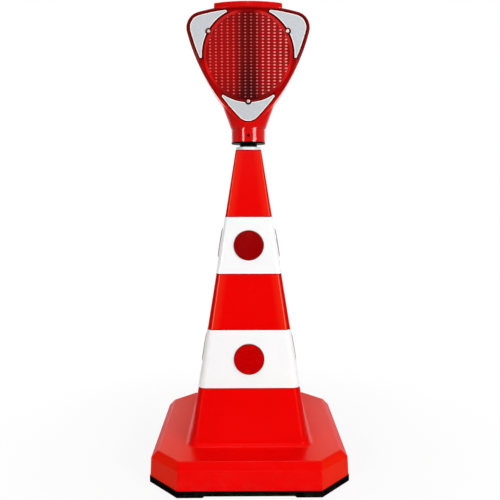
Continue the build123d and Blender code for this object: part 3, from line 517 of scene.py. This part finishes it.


# Lamp case: two halves in deep glossy red, injection moulded and joined at the middle.
# The solar tray is screwed on top. Both faces have beds for the silver sheets. Painted shade darkens the moat
# round each bed, and the faces near their outline and round the lobes.

LAMP_RED = (0.72, 0.003, 0.002, 1.0)
TRAY_RED = (0.65, 0.003, 0.002, 1.0)
CASE_RUB_AND_HIGHLIGHT = (0.95, 0.12, 0.08, 1.0)
EDGE_SHADE = (0.39, 0.30, 0.30, 1.0)
INNER_SHADE = (0.68, 0.45, 0.45, 1.0)
LOBE_SHADE = (0.31, 0.30, 0.30, 1.0)
MOAT_SHADE_DARK = (0.02, 0.0006, 0.0006, 1.0)
MOAT_SHADE_RED = (0.16, 0.0008, 0.0008, 1.0)
SEAT_EDGE = (0.0006, 0.0012)
MOAT_RING = (0.004, 0.008)
LOBE_ANGLES = (-90, 30, 150)
LOBE_REACH = 0.1201
LOBE_RADIUS = 0.0362
SIDE_DISTANCE = 0.1102
SIDE_RADIUS = 0.430
LOBE_SHADE_REACH = (0.060, 0.085)
FACE_INSET = (0.002, 0.013)
FACE_LIMIT = (-0.003, -0.0005)
FACE_DEPTH = (0.037, 0.042)
FACE_FOOT = (0.850, 0.882)
COLLAR_TOP = (0.800, 0.803)
COLLAR_GLOSS = 0.22
CASE_GLOSS = 0.06

lens_low, lens_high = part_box("front_lens")
lens_radius = lens_high.x
lens_axis_z = lens_high.z - lens_radius
side_centre = SIDE_RADIUS - SIDE_DISTANCE
lobe_spread = atan2(side_centre + LOBE_REACH / 2, LOBE_REACH * cos(radians(30))) - radians(30)

# Painted shade in grooves, found by how much of their sky is covered
GROOVE_SKY = (0.95, 0.5)

groove_shade, takes, gives = start_group(
    "groove_shade", {"Width": "Float", "Amount": "Float"}, {"Mask": "Float"})
tree = groove_shade
open_sky = add(tree, "AmbientOcclusion", {"Distance": takes["Width"]}, samples=8, only_local=True)
covered = ranged(tree, open_sky.outputs["AO"], *GROOVE_SKY)
feed(tree, gives["Mask"], times(tree, covered, takes["Amount"]))

# Place on the head's face: how far inside its outline, from the nearest lobe and from the lens's axis
ACROSS_FACE = (1.0, 0.0, 1.0)

head_place, _, gives = start_group(
    "head_place", {}, {"Inset": "Float", "To Lobe": "Float", "To Axis": "Float"})
tree = head_place
spot = vectors(tree, "SUBTRACT", spot_on(tree), (0.0, 0.0, lens_axis_z))[0]
spot = vectors(tree, "MULTIPLY", spot, ACROSS_FACE)[0]
inset, to_lobe, lobes = 1.0, 1.0, []
for angle in LOBE_ANGLES:
    outwards = Vector((cos(radians(angle)), 0.0, sin(radians(angle))))
    offset = vectors(tree, "SUBTRACT", spot, outwards * LOBE_REACH)[0]
    away = length(tree, offset)
    along = vectors(tree, "DOT_PRODUCT", offset, outwards)["Value"]
    on_lobe = sums(tree, "GREATER_THAN", along, times(tree, away, cos(lobe_spread)))
    lobes.append((on_lobe, sums(tree, "SUBTRACT", LOBE_RADIUS, away)))
    to_lobe = sums(tree, "MINIMUM", to_lobe, away)
    from_side = vectors(tree, "DISTANCE", spot, outwards * side_centre)["Value"]
    inset = sums(tree, "MINIMUM", inset, sums(tree, "SUBTRACT", SIDE_RADIUS, from_side))
for on_lobe, lobe_inset in lobes:
    inset = add(tree, "Mix", {0: on_lobe, 2: inset, 3: lobe_inset}).outputs[0]
feed(tree, gives["Inset"], inset)
feed(tree, gives["To Lobe"], to_lobe)
feed(tree, gives["To Axis"], length(tree, spot))


def glossy_red(name, nodes, colour):
    """Deep red plastic with paler edges, partly wear and partly a painted highlight. Returns its tree, its
    shader and its colour so far.
    """
    _, tree, shader = start_material(name, nodes, Specular_IOR_Level=0.03, Coat_Weight=COLLAR_GLOSS,
                                     Coat_Roughness=0.06)
    skin = use(tree, moulded_skin, Colour=colour, Drift=0.12, Roughness=0.30, Gloss_Spread=0.10, Peel=520.0)
    rub_and_highlight = use(tree, edge_rub_and_highlight, Width=0.0012, Amount=0.12)
    scuffed = use(tree, hairlines, Size=24.0, Amount=0.08)
    paler = sums(tree, "MAXIMUM", rub_and_highlight["Mask"], scuffed["Mask"])
    wire(tree, shader, Roughness=sums(tree, "ADD", skin["Roughness"], scuffed["Mask"]))
    emboss(tree, shader, skin["Height"], depth=0.00003)
    return tree, shader, mixed(tree, paler, skin["Colour"], CASE_RUB_AND_HIGHLIGHT)


tree, shader, rub_and_highlight_colour = glossy_red("tray_red", ["solar_tray"], TRAY_RED)
wire(tree, shader, Base_Color=rub_and_highlight_colour)

tree, shader, rub_and_highlight_colour = glossy_red("case_red", ["front_housing", "rear_housing"], LAMP_RED)
place = axes_of(tree, spot_on(tree))
head = use(tree, head_place)
# Painted shade on the head's faces: darker near the outline and round the lobes
shade = mixed(tree, ranged(tree, head["Inset"], *FACE_INSET), EDGE_SHADE, INNER_SHADE)
shade = mixed(tree, ranged(tree, head["To Lobe"], *LOBE_SHADE_REACH, 1.0, 0.0), shade, LOBE_SHADE)
on_face = times(tree, ranged(tree, absolute(tree, place["Y"]), *FACE_DEPTH),
                ranged(tree, head["Inset"], *FACE_LIMIT), ranged(tree, place["Z"], *FACE_FOOT))
face_shaded = mixed(tree, on_face, rub_and_highlight_colour, shade, "MULTIPLY")
# Painted shade in the moats and grooves beyond the lens seat
past_lens = sums(tree, "SUBTRACT", head["To Axis"], lens_radius)
groove_shaded = use(tree, groove_shade, Width=0.004, Amount=ranged(tree, past_lens, *SEAT_EDGE))
moat = mixed(tree, ranged(tree, past_lens, *MOAT_RING), MOAT_SHADE_DARK, MOAT_SHADE_RED)
wire(tree, shader, Base_Color=mixed(tree, groove_shaded["Mask"], face_shaded, moat),
     Coat_Weight=ranged(tree, place["Z"], *COLLAR_TOP, COLLAR_GLOSS, CASE_GLOSS))


# Silver sheets: three crescents of glass-bead reflective sheeting on each face, cut and stuck in their beds.
# The beads give a pale blue-grey with a fine sparkle, and a painted highlight runs along the cut edges.

SHEET_SILVER = (0.63, 0.645, 0.675, 1.0)
SHEET_SPECK = (0.47, 0.51, 0.54, 1.0)
SHEET_BEADS = (0.35, 0.68)
SHEET_ROUGHNESS = (0.38, 0.55)
SHEET_EDGE_HIGHLIGHT = (0.98, 0.88, 0.84, 1.0)
SHEET_HIGHLIGHT_WIDTH = (0.0010, 0.0026)
SHEET_INSET = 0.0087
SHEET_RING = 0.0046
SHEET_TIP_REACH = 0.0667

_, tree, shader = start_material("bead_silver", ["front_crescents", "rear_crescents"], Metallic=0.1)
beads = ranged(tree, noise(tree, spot_on(tree), scale=620.0, detail=3.0, rough=0.7), *SHEET_BEADS)
head = use(tree, head_place)
to_edge = sums(tree, "SUBTRACT", head["Inset"], SHEET_INSET)
for other_edge in (sums(tree, "SUBTRACT", head["To Axis"], lens_radius + SHEET_RING),
                   sums(tree, "SUBTRACT", SHEET_TIP_REACH, head["To Lobe"])):
    to_edge = sums(tree, "MINIMUM", to_edge, other_edge)
# Painted highlight along the cut edges
edge_highlight = ranged(tree, to_edge, *SHEET_HIGHLIGHT_WIDTH, 1.0, 0.0)
beaded = mixed(tree, beads, SHEET_SILVER, SHEET_SPECK)
wire(tree, shader, Base_Color=mixed(tree, edge_highlight, beaded, SHEET_EDGE_HIGHLIGHT),
     Roughness=ranged(tree, beads, 0.0, 1.0, *SHEET_ROUGHNESS))
emboss(tree, shader, beads, depth=0.00003)


# Lenses: clear red polycarbonate, one at the front and one at the rear, screwed to the case by three ears.
# The optic is a shallow dome of small pillows, in upright columns, with a matching flute inside each column.

LENS_RED = (0.37, 0.0005, 0.0005, 1.0)
LENS_DEEP = (0.32, 0.0005, 0.0005, 1.0)
LENS_TINT = (0.3, 0.7)
LENS_CLEAR = (0.80, 0.006, 0.005, 1.0)
LENS_LOW_SHADE = (0.20, 0.0008, 0.0008, 1.0)
LENS_EAR_SHADE = (0.09, 0.0005, 0.0005, 1.0)
LENS_SHADE = (0.90, 0.015, 0.012, 1.0)
LENS_ROUGHNESS = 0.30
LOW_FLANGE = (-0.098, -0.040)
EAR_TO_LOBE = (0.0225, 0.0215)
LENS_GLINT = (1.0, 0.12, 0.105, 1.0)
WIDE_GLINT = (1.0, 0.42, 0.37, 1.0)
GLINT_PITCH = (0.01330, 1.0, 0.00701)
GLINT_SIZE = (0.0021, 1.0, 0.0017)
BROAD_GLINT = (0.0029, 1.0, 0.0017)
BROAD_SIDE = (0.015, 0.045)
GLINT_EDGE = (1.2, 0.5)
GLINT_COAT = (0.18, 0.8)
GLINT_LIFT = 0.0013
COAT_DEPTH = (0.0005, 0.0001)
LENS_POST_SHADE = (0.07, 0.0003, 0.0003, 1.0)
POST_EDGE = (0.013, 0.031)
POST_FADE = (-0.088, -0.005)
POST_SHARE = (1.0, 0.6)
OPTIC_RADIUS = 0.095
OPTIC_RISE = 0.004
OPTIC_WALL = 0.003
FLANGE_THICKNESS = 0.0035
EDGE_ROUND = 0.0004
SHARP_TURN = radians(12)
COLUMN_PITCH = 0.0141
COLUMN_SLOPE = radians(10)
ROW_PITCH = 0.0071
ROW_SLOPE = radians(22)
PATCHES = (8, 8)
RIM_MARGIN = 0.4
FLUTE_SAG = 0.0008
EAR_REACH = 0.1032
EAR_RADIUS = 0.0050
EAR_HOLE = 0.0019
EAR_STEPS = 10
FLANGE_TURNS = range(3, 118, 2)
HOLE_TURNS = range(0, 360, 24)

seat_depth = -lens_high.y
flange_face = seat_depth + FLANGE_THICKNESS
crown = -lens_low.y
dome_radius = (OPTIC_RADIUS ** 2 + OPTIC_RISE ** 2) / (2 * OPTIC_RISE)


def dome(x, y):
    """Depth of the smooth dome that the pillows stand on."""
    return crown - dome_radius + sqrt(dome_radius ** 2 - x * x - y * y)


def pillow(place, pitch, slope):
    """Height of a round pillow over its joints, in a row of pillows with a joint on the axis."""
    radius = pitch / 2 / sin(slope)
    offset = place % pitch - pitch / 2
    return sqrt(radius ** 2 - offset ** 2) - radius * cos(slope)


def outer_face(x, y):
    return dome(x, y) + pillow(x, COLUMN_PITCH, COLUMN_SLOPE) + pillow(y, ROW_PITCH, ROW_SLOPE)


def inner_face(x, y):
    offset = x % COLUMN_PITCH / COLUMN_PITCH * 2 - 1
    return dome(x, y) - OPTIC_WALL - FLUTE_SAG * (1 - offset ** 2)


def optic_skin(build, reach, face):
    """Grid of patches trimmed to a circle. Returns its rim in order of angle."""
    wide, tall = COLUMN_PITCH / PATCHES[0], ROW_PITCH / PATCHES[1]
    across, along = ceil(reach / wide), ceil(reach / tall)
    patches = [[(column, row), (column + 1, row), (column + 1, row + 1), (column, row + 1)]
               for column in range(-across, across) for row in range(-along, along)
               if hypot((column + 0.5) * wide, (row + 0.5) * tall) < reach - RIM_MARGIN * wide]
    uses = Counter(corner for patch in patches for corner in patch)
    verts = {}
    for column, row in uses:
        x, y = column * wide, row * tall
        if uses[column, row] < 4:
            stretch = reach / hypot(x, y)
            x, y = x * stretch, y * stretch
        verts[column, row] = build.verts.new((x, y, face(x, y)))
    for patch in patches:
        build.faces.new([verts[corner] for corner in patch])
    rim = [verts[corner] for corner in uses if uses[corner] < 4]
    return sorted(rim, key=lambda vert: atan2(vert.co.y, vert.co.x))


def loop_through(build, points):
    """Closed loop of edges through points. Returns its verts."""
    verts = [build.verts.new(point) for point in points]
    for first, second in zip(verts, verts[1:] + verts[:1]):
        build.edges.new((first, second))
    return verts


def wall_between(build, first, second):
    """Band of faces between two loops with the same number of verts."""
    for here in range(len(first)):
        build.faces.new((first[here], first[here - 1], second[here - 1], second[here]))


def ring_under(build, loop, radius, depth):
    """Loop below another one, at the same angles, and the wall to it."""
    angles = [atan2(vert.co.y, vert.co.x) for vert in loop]
    below = loop_through(build, [(radius * cos(angle), radius * sin(angle), depth) for angle in angles])
    wall_between(build, loop, below)
    return below


def flange_outline(inset):
    """Round flange with its three screw ears, as (x, y) points."""
    points = []
    for ear in LOBE_ANGLES:
        for step in range(-EAR_STEPS, EAR_STEPS + 1):
            turn = asin(EAR_RADIUS / EAR_REACH) * step / EAR_STEPS
            beyond = max(EAR_RADIUS ** 2 - (EAR_REACH * sin(turn)) ** 2, 0.0)
            reach = EAR_REACH * cos(turn) + sqrt(beyond) - inset
            points.append((reach * cos(radians(ear) + turn), reach * sin(radians(ear) + turn)))
        for step in FLANGE_TURNS:
            turn = radians(ear + step)
            points.append(((lens_radius - inset) * cos(turn), (lens_radius - inset) * sin(turn)))
    return points


def screw_hole(angle):
    """Hole in an ear, as (x, y) points."""
    middle = EAR_REACH * cos(radians(angle)), EAR_REACH * sin(radians(angle))
    return [(middle[0] + EAR_HOLE * cos(radians(turn)), middle[1] + EAR_HOLE * sin(radians(turn)))
            for turn in HOLE_TURNS]


def fill_flat(build, loops):
    """Flat face with holes, filled between its closed loops."""
    edges = [build.edges.get((loop[here - 1], loop[here])) for loop in loops for here in range(len(loop))]
    bmesh.ops.triangle_fill(build, edges=edges, use_beauty=True)


def at_depth(points, depth):
    return [(x, y, depth) for x, y in points]


def mesh_from(build, name):
    """New mesh from a finished build."""
    mesh = bpy.data.meshes.new(name)
    build.to_mesh(mesh)
    build.free()
    return mesh


def lens_mesh():
    """Closed lens: pillowed optic, step, eared flange with its screw holes, and the fluted inside."""
    build = bmesh.new()
    optic_rim = optic_skin(build, OPTIC_RADIUS - EDGE_ROUND, outer_face)
    shoulder = ring_under(build, optic_rim, OPTIC_RADIUS, crown - OPTIC_RISE - EDGE_ROUND)
    flange_inner = ring_under(build, shoulder, OPTIC_RADIUS + EDGE_ROUND, flange_face)

    upper = loop_through(build, at_depth(flange_outline(EDGE_ROUND), flange_face))
    edge = loop_through(build, at_depth(flange_outline(0.0), flange_face - EDGE_ROUND))
    lower = loop_through(build, at_depth(flange_outline(0.0), seat_depth))
    wall_between(build, upper, edge)
    wall_between(build, edge, lower)
    holes = [[loop_through(build, at_depth(screw_hole(ear), depth)) for depth in (flange_face, seat_depth)]
             for ear in LOBE_ANGLES]
    for top, bottom in holes:
        wall_between(build, top, bottom)

    inner_rim = optic_skin(build, OPTIC_RADIUS - OPTIC_WALL - EDGE_ROUND, inner_face)
    inner_foot = ring_under(build, inner_rim, OPTIC_RADIUS - OPTIC_WALL, seat_depth)
    fill_flat(build, [flange_inner, upper] + [top for top, _ in holes])
    fill_flat(build, [inner_foot, lower] + [bottom for _, bottom in holes])
    bmesh.ops.recalc_face_normals(build, faces=build.faces)
    mesh = mesh_from(build, "pillow_lens")
    mesh.shade_smooth()
    mesh.set_sharp_from_angle(angle=SHARP_TURN)
    return mesh


def new_object(name, data):
    """New object in the scene."""
    thing = bpy.data.objects.new(name, data)
    bpy.context.scene.collection.objects.link(thing)
    return thing


def place_piece(name, mesh, body, slot, *replaced):
    """New piece that rides on a body and stands for CAD nodes."""
    piece = new_object(name, mesh)
    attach(piece, body)
    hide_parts(*replaced)
    return piece


def show_between(tree, share, first, second):
    """Surface of the first shader, and of the second one by its share."""
    surface = add(tree, "MixShader", {0: share, 1: first.outputs[0], 2: second.outputs[0]})
    feed(tree, tree.nodes["Material Output"].inputs["Surface"], surface.outputs[0])


def let_light_in(tree, shader, shade):
    """Lets the studio's light through, in one shade, to what lies behind."""
    clear = add(tree, "BsdfTransparent", {"Color": shade})
    show_between(tree, add(tree, "LightPath").outputs["Is Shadow Ray"], shader, clear)


lens_glass, tree, shader = start_material("lens_red", Transmission_Weight=0.5, IOR=1.35,
                                          Specular_IOR_Level=0.0, Coat_Roughness=0.06)
spot = spot_on(tree)
place = axes_of(tree, spot)
over_axis = sums(tree, "SUBTRACT", place["Z"], lens_axis_z)
head = use(tree, head_place)

# The optic, told from the flange by how little it lies under the dome
drop = sums(tree, "DIVIDE", times(tree, head["To Axis"], head["To Axis"]), 2 * dome_radius)
under_crown = sums(tree, "SUBTRACT", crown, sums(tree, "ADD", absolute(tree, place["Y"]), drop))
on_optic = ranged(tree, under_crown, *COAT_DEPTH)

# Painted highlights: bright spots on the pillows, wider towards one side
from_axis = vectors(tree, "SUBTRACT", spot, (0.0, 0.0, lens_axis_z + GLINT_LIFT))[0]
step = vectors(tree, "FRACTION", vectors(tree, "DIVIDE", from_axis, GLINT_PITCH)[0])[0]
aside = vectors(tree, "MULTIPLY", vectors(tree, "SUBTRACT", step, (0.5, 0.5, 0.5))[0], GLINT_PITCH)[0]
broad_side = ranged(tree, place["X"], *BROAD_SIDE)
size = add(tree, "Mix", {0: broad_side, 4: GLINT_SIZE, 5: BROAD_GLINT}, data_type="VECTOR").outputs[1]
spread = vectors(tree, "MULTIPLY", vectors(tree, "DIVIDE", aside, size)[0], ACROSS_FACE)[0]
glint = times(tree, ranged(tree, length(tree, spread), *GLINT_EDGE), on_optic)

# Painted shade: the flange darker towards its foot and round the screw ears
flange = mixed(tree, ranged(tree, over_axis, *LOW_FLANGE), LENS_LOW_SHADE, LENS_CLEAR)
flange = mixed(tree, ranged(tree, head["To Lobe"], *EAR_TO_LOBE), flange, LENS_EAR_SHADE)
tint = ranged(tree, noise(tree, spot, scale=22.0, detail=3.0), *LENS_TINT)
body = mixed(tree, on_optic, flange, mixed(tree, tint, LENS_RED, LENS_DEEP))
# Painted shade of the dark post behind the lens, over the middle columns, strongest low down
post_shade = times(tree, ranged(tree, absolute(tree, place["X"]), *POST_EDGE, 1.0, 0.0),
                ranged(tree, over_axis, *POST_FADE, *POST_SHARE))
body = mixed(tree, post_shade, body, LENS_POST_SHADE)
scuffed = use(tree, hairlines, Size=30.0, Amount=0.15)
wire(tree, shader, Base_Color=mixed(tree, glint, body, mixed(tree, broad_side, LENS_GLINT, WIDE_GLINT)),
     Coat_Weight=times(tree, on_optic, ranged(tree, broad_side, 0.0, 1.0, *GLINT_COAT)),
     Roughness=sums(tree, "ADD", scuffed["Mask"], LENS_ROUGHNESS))
let_light_in(tree, shader, LENS_SHADE)

to_front = Matrix.Translation((0, 0, lens_axis_z)) @ Matrix.Rotation(radians(90), 4, "X")
to_rear = Matrix.Rotation(radians(180), 4, "Z") @ to_front
for side, stand in (("front", to_front), ("rear", to_rear)):
    mesh = lens_mesh()
    mesh.transform(stand)
    lens = place_piece(side + "_pillow_lens", mesh, "lamp", "lens_red", side + "_lens")
    cover(lens, lens_glass)


# Solar cap: a dark panel of wired silicon cells lies in the tray under a clear polycarbonate window.
# Each cell is a blue-black tile with printed fingers, and tinned ribbons run along the strings.

PANEL_BACK = (0.020, 0.022, 0.030, 1.0)
PANEL_GRAIN = (0.035, 0.037, 0.045, 1.0)
PANEL_ROUGHNESS = (0.4, 0.6)
PANEL_MARGIN = 0.004
PANEL_BEVEL = 0.0003
CELL_COLUMNS = 6
CELL_ROWS = 2
CELL_GAP = 0.0016
CELL_THICKNESS = 0.00025
CELL_BEVEL = 0.0001
SILICON = (0.010, 0.014, 0.045, 1.0)
SILICON_GRAIN = (0.016, 0.028, 0.085, 1.0)
SILICON_ROUGHNESS = (0.22, 0.42)
FINGERS_PER_METRE = 520.0
FINGER_START = 0.86
FINGER_SHARE = 0.12
RIBBONS = 2
RIBBON_WIDTH = 0.0012
RIBBON_THICKNESS = 0.0001
RIBBON_BEVEL = 0.00003
RIBBON_TIN = (0.74, 0.75, 0.77, 1.0)
RIBBON_DULL = (0.4, 0.4, 0.42, 1.0)
RIBBON_ROUGHNESS = (0.3, 0.55)
WINDOW_CLEAR = (0.95, 0.97, 0.98, 1.0)
WINDOW_SCUFF = (0.85, 0.88, 0.90, 1.0)
WINDOW_SHADE = (0.92, 0.94, 0.95, 1.0)
WINDOW_ROUGHNESS = 0.02


def add_slab(build, low, high, bevel, slot):
    """Flat block with its upper edges bevelled, in a material slot."""
    corners = ((low[0], low[1]), (high[0], low[1]), (high[0], high[1]), (low[0], high[1]))
    inner = ((low[0] + bevel, low[1] + bevel), (high[0] - bevel, low[1] + bevel),
             (high[0] - bevel, high[1] - bevel), (low[0] + bevel, high[1] - bevel))
    floor, shoulder, roof = (
        [build.verts.new(point) for point in at_depth(outline, level)]
        for outline, level in ((corners, low[2]), (corners, high[2] - bevel), (inner, high[2])))
    faces = [build.faces.new(floor[::-1]), build.faces.new(roof)]
    for first, second in ((floor, shoulder), (shoulder, roof)):
        for here in range(4):
            faces.append(build.faces.new((first[here - 1], first[here], second[here], second[here - 1])))
    for face in faces:
        face.material_index = slot


panel_low, panel_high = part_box("solar_panel")
build = bmesh.new()
add_slab(build, panel_low, panel_high, PANEL_BEVEL, 0)
cell_width = (panel_high.x - panel_low.x - 2 * PANEL_MARGIN + CELL_GAP) / CELL_COLUMNS
cell_length = (panel_high.y - panel_low.y - 2 * PANEL_MARGIN + CELL_GAP) / CELL_ROWS
cell_top = panel_high.z + CELL_THICKNESS
ribbon_start, ribbon_end = panel_low.y + PANEL_MARGIN / 2, panel_high.y - PANEL_MARGIN / 2
for column in range(CELL_COLUMNS):
    left = panel_low.x + PANEL_MARGIN + column * cell_width
    right = left + cell_width - CELL_GAP
    for row in range(CELL_ROWS):
        near = panel_low.y + PANEL_MARGIN + row * cell_length
        far = near + cell_length - CELL_GAP
        add_slab(build, (left, near, panel_high.z), (right, far, cell_top), CELL_BEVEL, 1)
    for ribbon in range(RIBBONS):
        middle = left + (right - left) * (ribbon + 0.5) / RIBBONS
        add_slab(build, (middle - RIBBON_WIDTH / 2, ribbon_start, cell_top),
                 (middle + RIBBON_WIDTH / 2, ribbon_end, cell_top + RIBBON_THICKNESS), RIBBON_BEVEL, 2)
mesh = mesh_from(build, "wired_cells")

panel_back, tree, shader = start_material("panel_back")
spot = spot_on(tree)
grain = noise(tree, spot, scale=160.0, detail=3.0)
wire(tree, shader, Base_Color=mixed(tree, grain, PANEL_BACK, PANEL_GRAIN),
     Roughness=uneven_gloss(tree, spot, PANEL_ROUGHNESS, scale=240.0))

silicon, tree, shader = start_material("silicon", Specular_IOR_Level=0.1,
                                       Coat_Weight=0.05, Coat_Roughness=0.05)
spot = spot_on(tree)
crystals = add(tree, "TexVoronoi", {"Vector": spot, "Scale": 170.0}).outputs["Color"]
grain = add(tree, "SeparateColor", {0: crystals}).outputs[0]
along = sums(tree, "FRACT", times(tree, axes_of(tree, spot)["Y"], FINGERS_PER_METRE))
finger = times(tree, sums(tree, "GREATER_THAN", along, FINGER_START), FINGER_SHARE)
wire(tree, shader, Base_Color=mixed(tree, finger, mixed(tree, grain, SILICON, SILICON_GRAIN), RIBBON_TIN),
     Roughness=ranged(tree, grain, 0.0, 1.0, *SILICON_ROUGHNESS))

ribbon_tin, tree, shader = start_material("ribbon_tin", Metallic=0.4)
spot = spot_on(tree)
dulled = noise(tree, spot, scale=700.0, detail=3.0)
wire(tree, shader, Base_Color=mixed(tree, dulled, RIBBON_TIN, RIBBON_DULL),
     Roughness=uneven_gloss(tree, spot, RIBBON_ROUGHNESS, scale=420.0))

panel = place_piece("wired_solar_panel", mesh, "lamp", "panel_dark", "solar_panel")
cover(panel, panel_back, silicon, ribbon_tin)

_, tree, shader = start_material("window_clear", ["solar_window"], Transmission_Weight=1.0, IOR=1.15,
                                 Specular_IOR_Level=0.3)
scuffed = use(tree, hairlines, Size=34.0, Amount=0.3)
wire(tree, shader, Base_Color=mixed(tree, scuffed["Mask"], WINDOW_CLEAR, WINDOW_SCUFF),
     Roughness=sums(tree, "ADD", scuffed["Mask"], WINDOW_ROUGHNESS))
let_light_in(tree, shader, WINDOW_SHADE)


# Studio: a white sweep of paper runs along the floor and up behind the object, in a dim room.
# A softbox stands on each side of the camera and one above it, one hangs over the object, and two stand
# behind it. The room looks white, and so do its mirror images but for the dim end where the camera stands.

SWEEP_WIDTH = 8.0
SWEEP_FRONT = -0.9
SWEEP_BACK = 2.6
SWEEP_BEND = 0.8
SWEEP_STEPS = 8
SWEEP_TOP = 3.6
SWEEP_WHITE = (0.86, 0.86, 0.86, 1.0)
ON_FLOOR = (1.0, 1.0, 0.0)
SHADOW_SHARE = 0.12
SHADOW_REACH = (0.30, 0.75)
ROOM_GREY = (0.05, 0.05, 0.05, 1.0)
ROOM_WHITE = (1.0, 1.0, 1.0, 1.0)
DIM_END = (-0.40, -0.10)
BODY_AIM = (0.0, 0.0, 0.65)

# Each softbox by its angle from the front, its distance, height, width and length, and its power
SOFTBOXES = {
    "left_softbox": (-34, 2.2, 1.02, 0.45, 0.28, 16.0),
    "right_softbox": (41, 2.2, 1.02, 0.85, 0.28, 28.5),
    "upper_softbox": (1, 2.6, 2.35, 0.42, 0.85, 12.0),
    "overhead_softbox": (0, 0.1, 2.6, 1.0, 0.7, 16.0),
    "rear_left_softbox": (-150, 2.4, 0.9, 1.6, 1.2, 13.0),
    "rear_right_softbox": (150, 2.4, 0.9, 1.6, 1.2, 13.0),
}

profile = [(SWEEP_FRONT, 0.0), (SWEEP_BACK - SWEEP_BEND, 0.0)]
for step in range(1, SWEEP_STEPS + 1):
    turn = radians(90 * step / SWEEP_STEPS)
    profile.append((SWEEP_BACK - SWEEP_BEND + SWEEP_BEND * sin(turn), SWEEP_BEND * (1 - cos(turn))))
profile.append((SWEEP_BACK, SWEEP_TOP))
build = bmesh.new()
rows = [[build.verts.new((x, y, z)) for x in (-SWEEP_WIDTH / 2, SWEEP_WIDTH / 2)] for y, z in profile]
for near, far in zip(rows, rows[1:]):
    build.faces.new((near[0], near[1], far[1], far[0]))
mesh = mesh_from(build, "paper_sweep")
mesh.shade_smooth()
sweep = new_object("paper_sweep", mesh)


def seen_in_mirrors(tree, ray):
    """Share of rays that reach a place by reflection or through glass."""
    return sums(tree, "MAXIMUM", ray["Is Glossy Ray"], ray["Is Transmission Ray"])


paper, tree, shader = start_material("paper_white", Base_Color=SWEEP_WHITE, Roughness=0.9,
                                     Specular_IOR_Level=0.0)
ray = add(tree, "LightPath").outputs
seen = sums(tree, "MAXIMUM", ray["Is Camera Ray"], seen_in_mirrors(tree, ray))
away = length(tree, vectors(tree, "MULTIPLY", spot_on(tree), ON_FLOOR)[0])
lit = times(tree, seen, ranged(tree, away, *SHADOW_REACH, 1 - SHADOW_SHARE, 1.0))
white = add(tree, "Emission", {"Color": ROOM_WHITE, "Strength": 1.0})
show_between(tree, lit, shader, white)
cover(sweep, paper)

for name, (azimuth, away, height, width, tall, power) in SOFTBOXES.items():
    light = bpy.data.lights.new(name, "AREA")
    light.shape = "RECTANGLE"
    light.size, light.size_y, light.energy = width, tall, power
    box = new_object(name, light)
    box.location = (away * sin(radians(azimuth)), -away * cos(radians(azimuth)), height)
    box.rotation_euler = (Vector(BODY_AIM) - box.location).to_track_quat("-Z", "Y").to_euler()

room = bpy.data.worlds.new("dim_room")
room.use_nodes = True
tree = room.node_tree
ray = add(tree, "LightPath").outputs
heading = axes_of(tree, add(tree, "TexCoord").outputs["Generated"])["Y"]
mirrored = times(tree, seen_in_mirrors(tree, ray), ranged(tree, heading, *DIM_END))
seen = sums(tree, "MAXIMUM", ray["Is Camera Ray"], mirrored)
wire(tree, tree.nodes["Background"], Color=mixed(tree, seen, ROOM_GREY, ROOM_WHITE))
bpy.context.scene.world = room
bpy.context.scene.view_settings.view_transform = "Standard"


# Camera: stands in front of the lamp, a little lower than the cone's top.
# It looks down slightly at the object's middle.

CAMERA_PLACE = (-0.0039, -1.356, 0.658)
CAMERA_PITCH = radians(90 - 6.215)
CAMERA_YAW = radians(-0.3)
CAMERA_ROLL = radians(-0.15)
CAMERA_LENS = 40.216
CAMERA_SENSOR = 36.0

camera_data = bpy.data.cameras.new("camera")
camera_data.lens = CAMERA_LENS
camera_data.sensor_width = CAMERA_SENSOR
camera = new_object("camera", camera_data)
camera.location = CAMERA_PLACE
turns = ((CAMERA_YAW, "Z"), (CAMERA_PITCH, "X"), (CAMERA_ROLL, "Z"))
yaw, pitch, roll = (Matrix.Rotation(angle, 3, axis) for angle, axis in turns)
camera.rotation_euler = (yaw @ pitch @ roll).to_euler()
bpy.context.scene.camera = camera
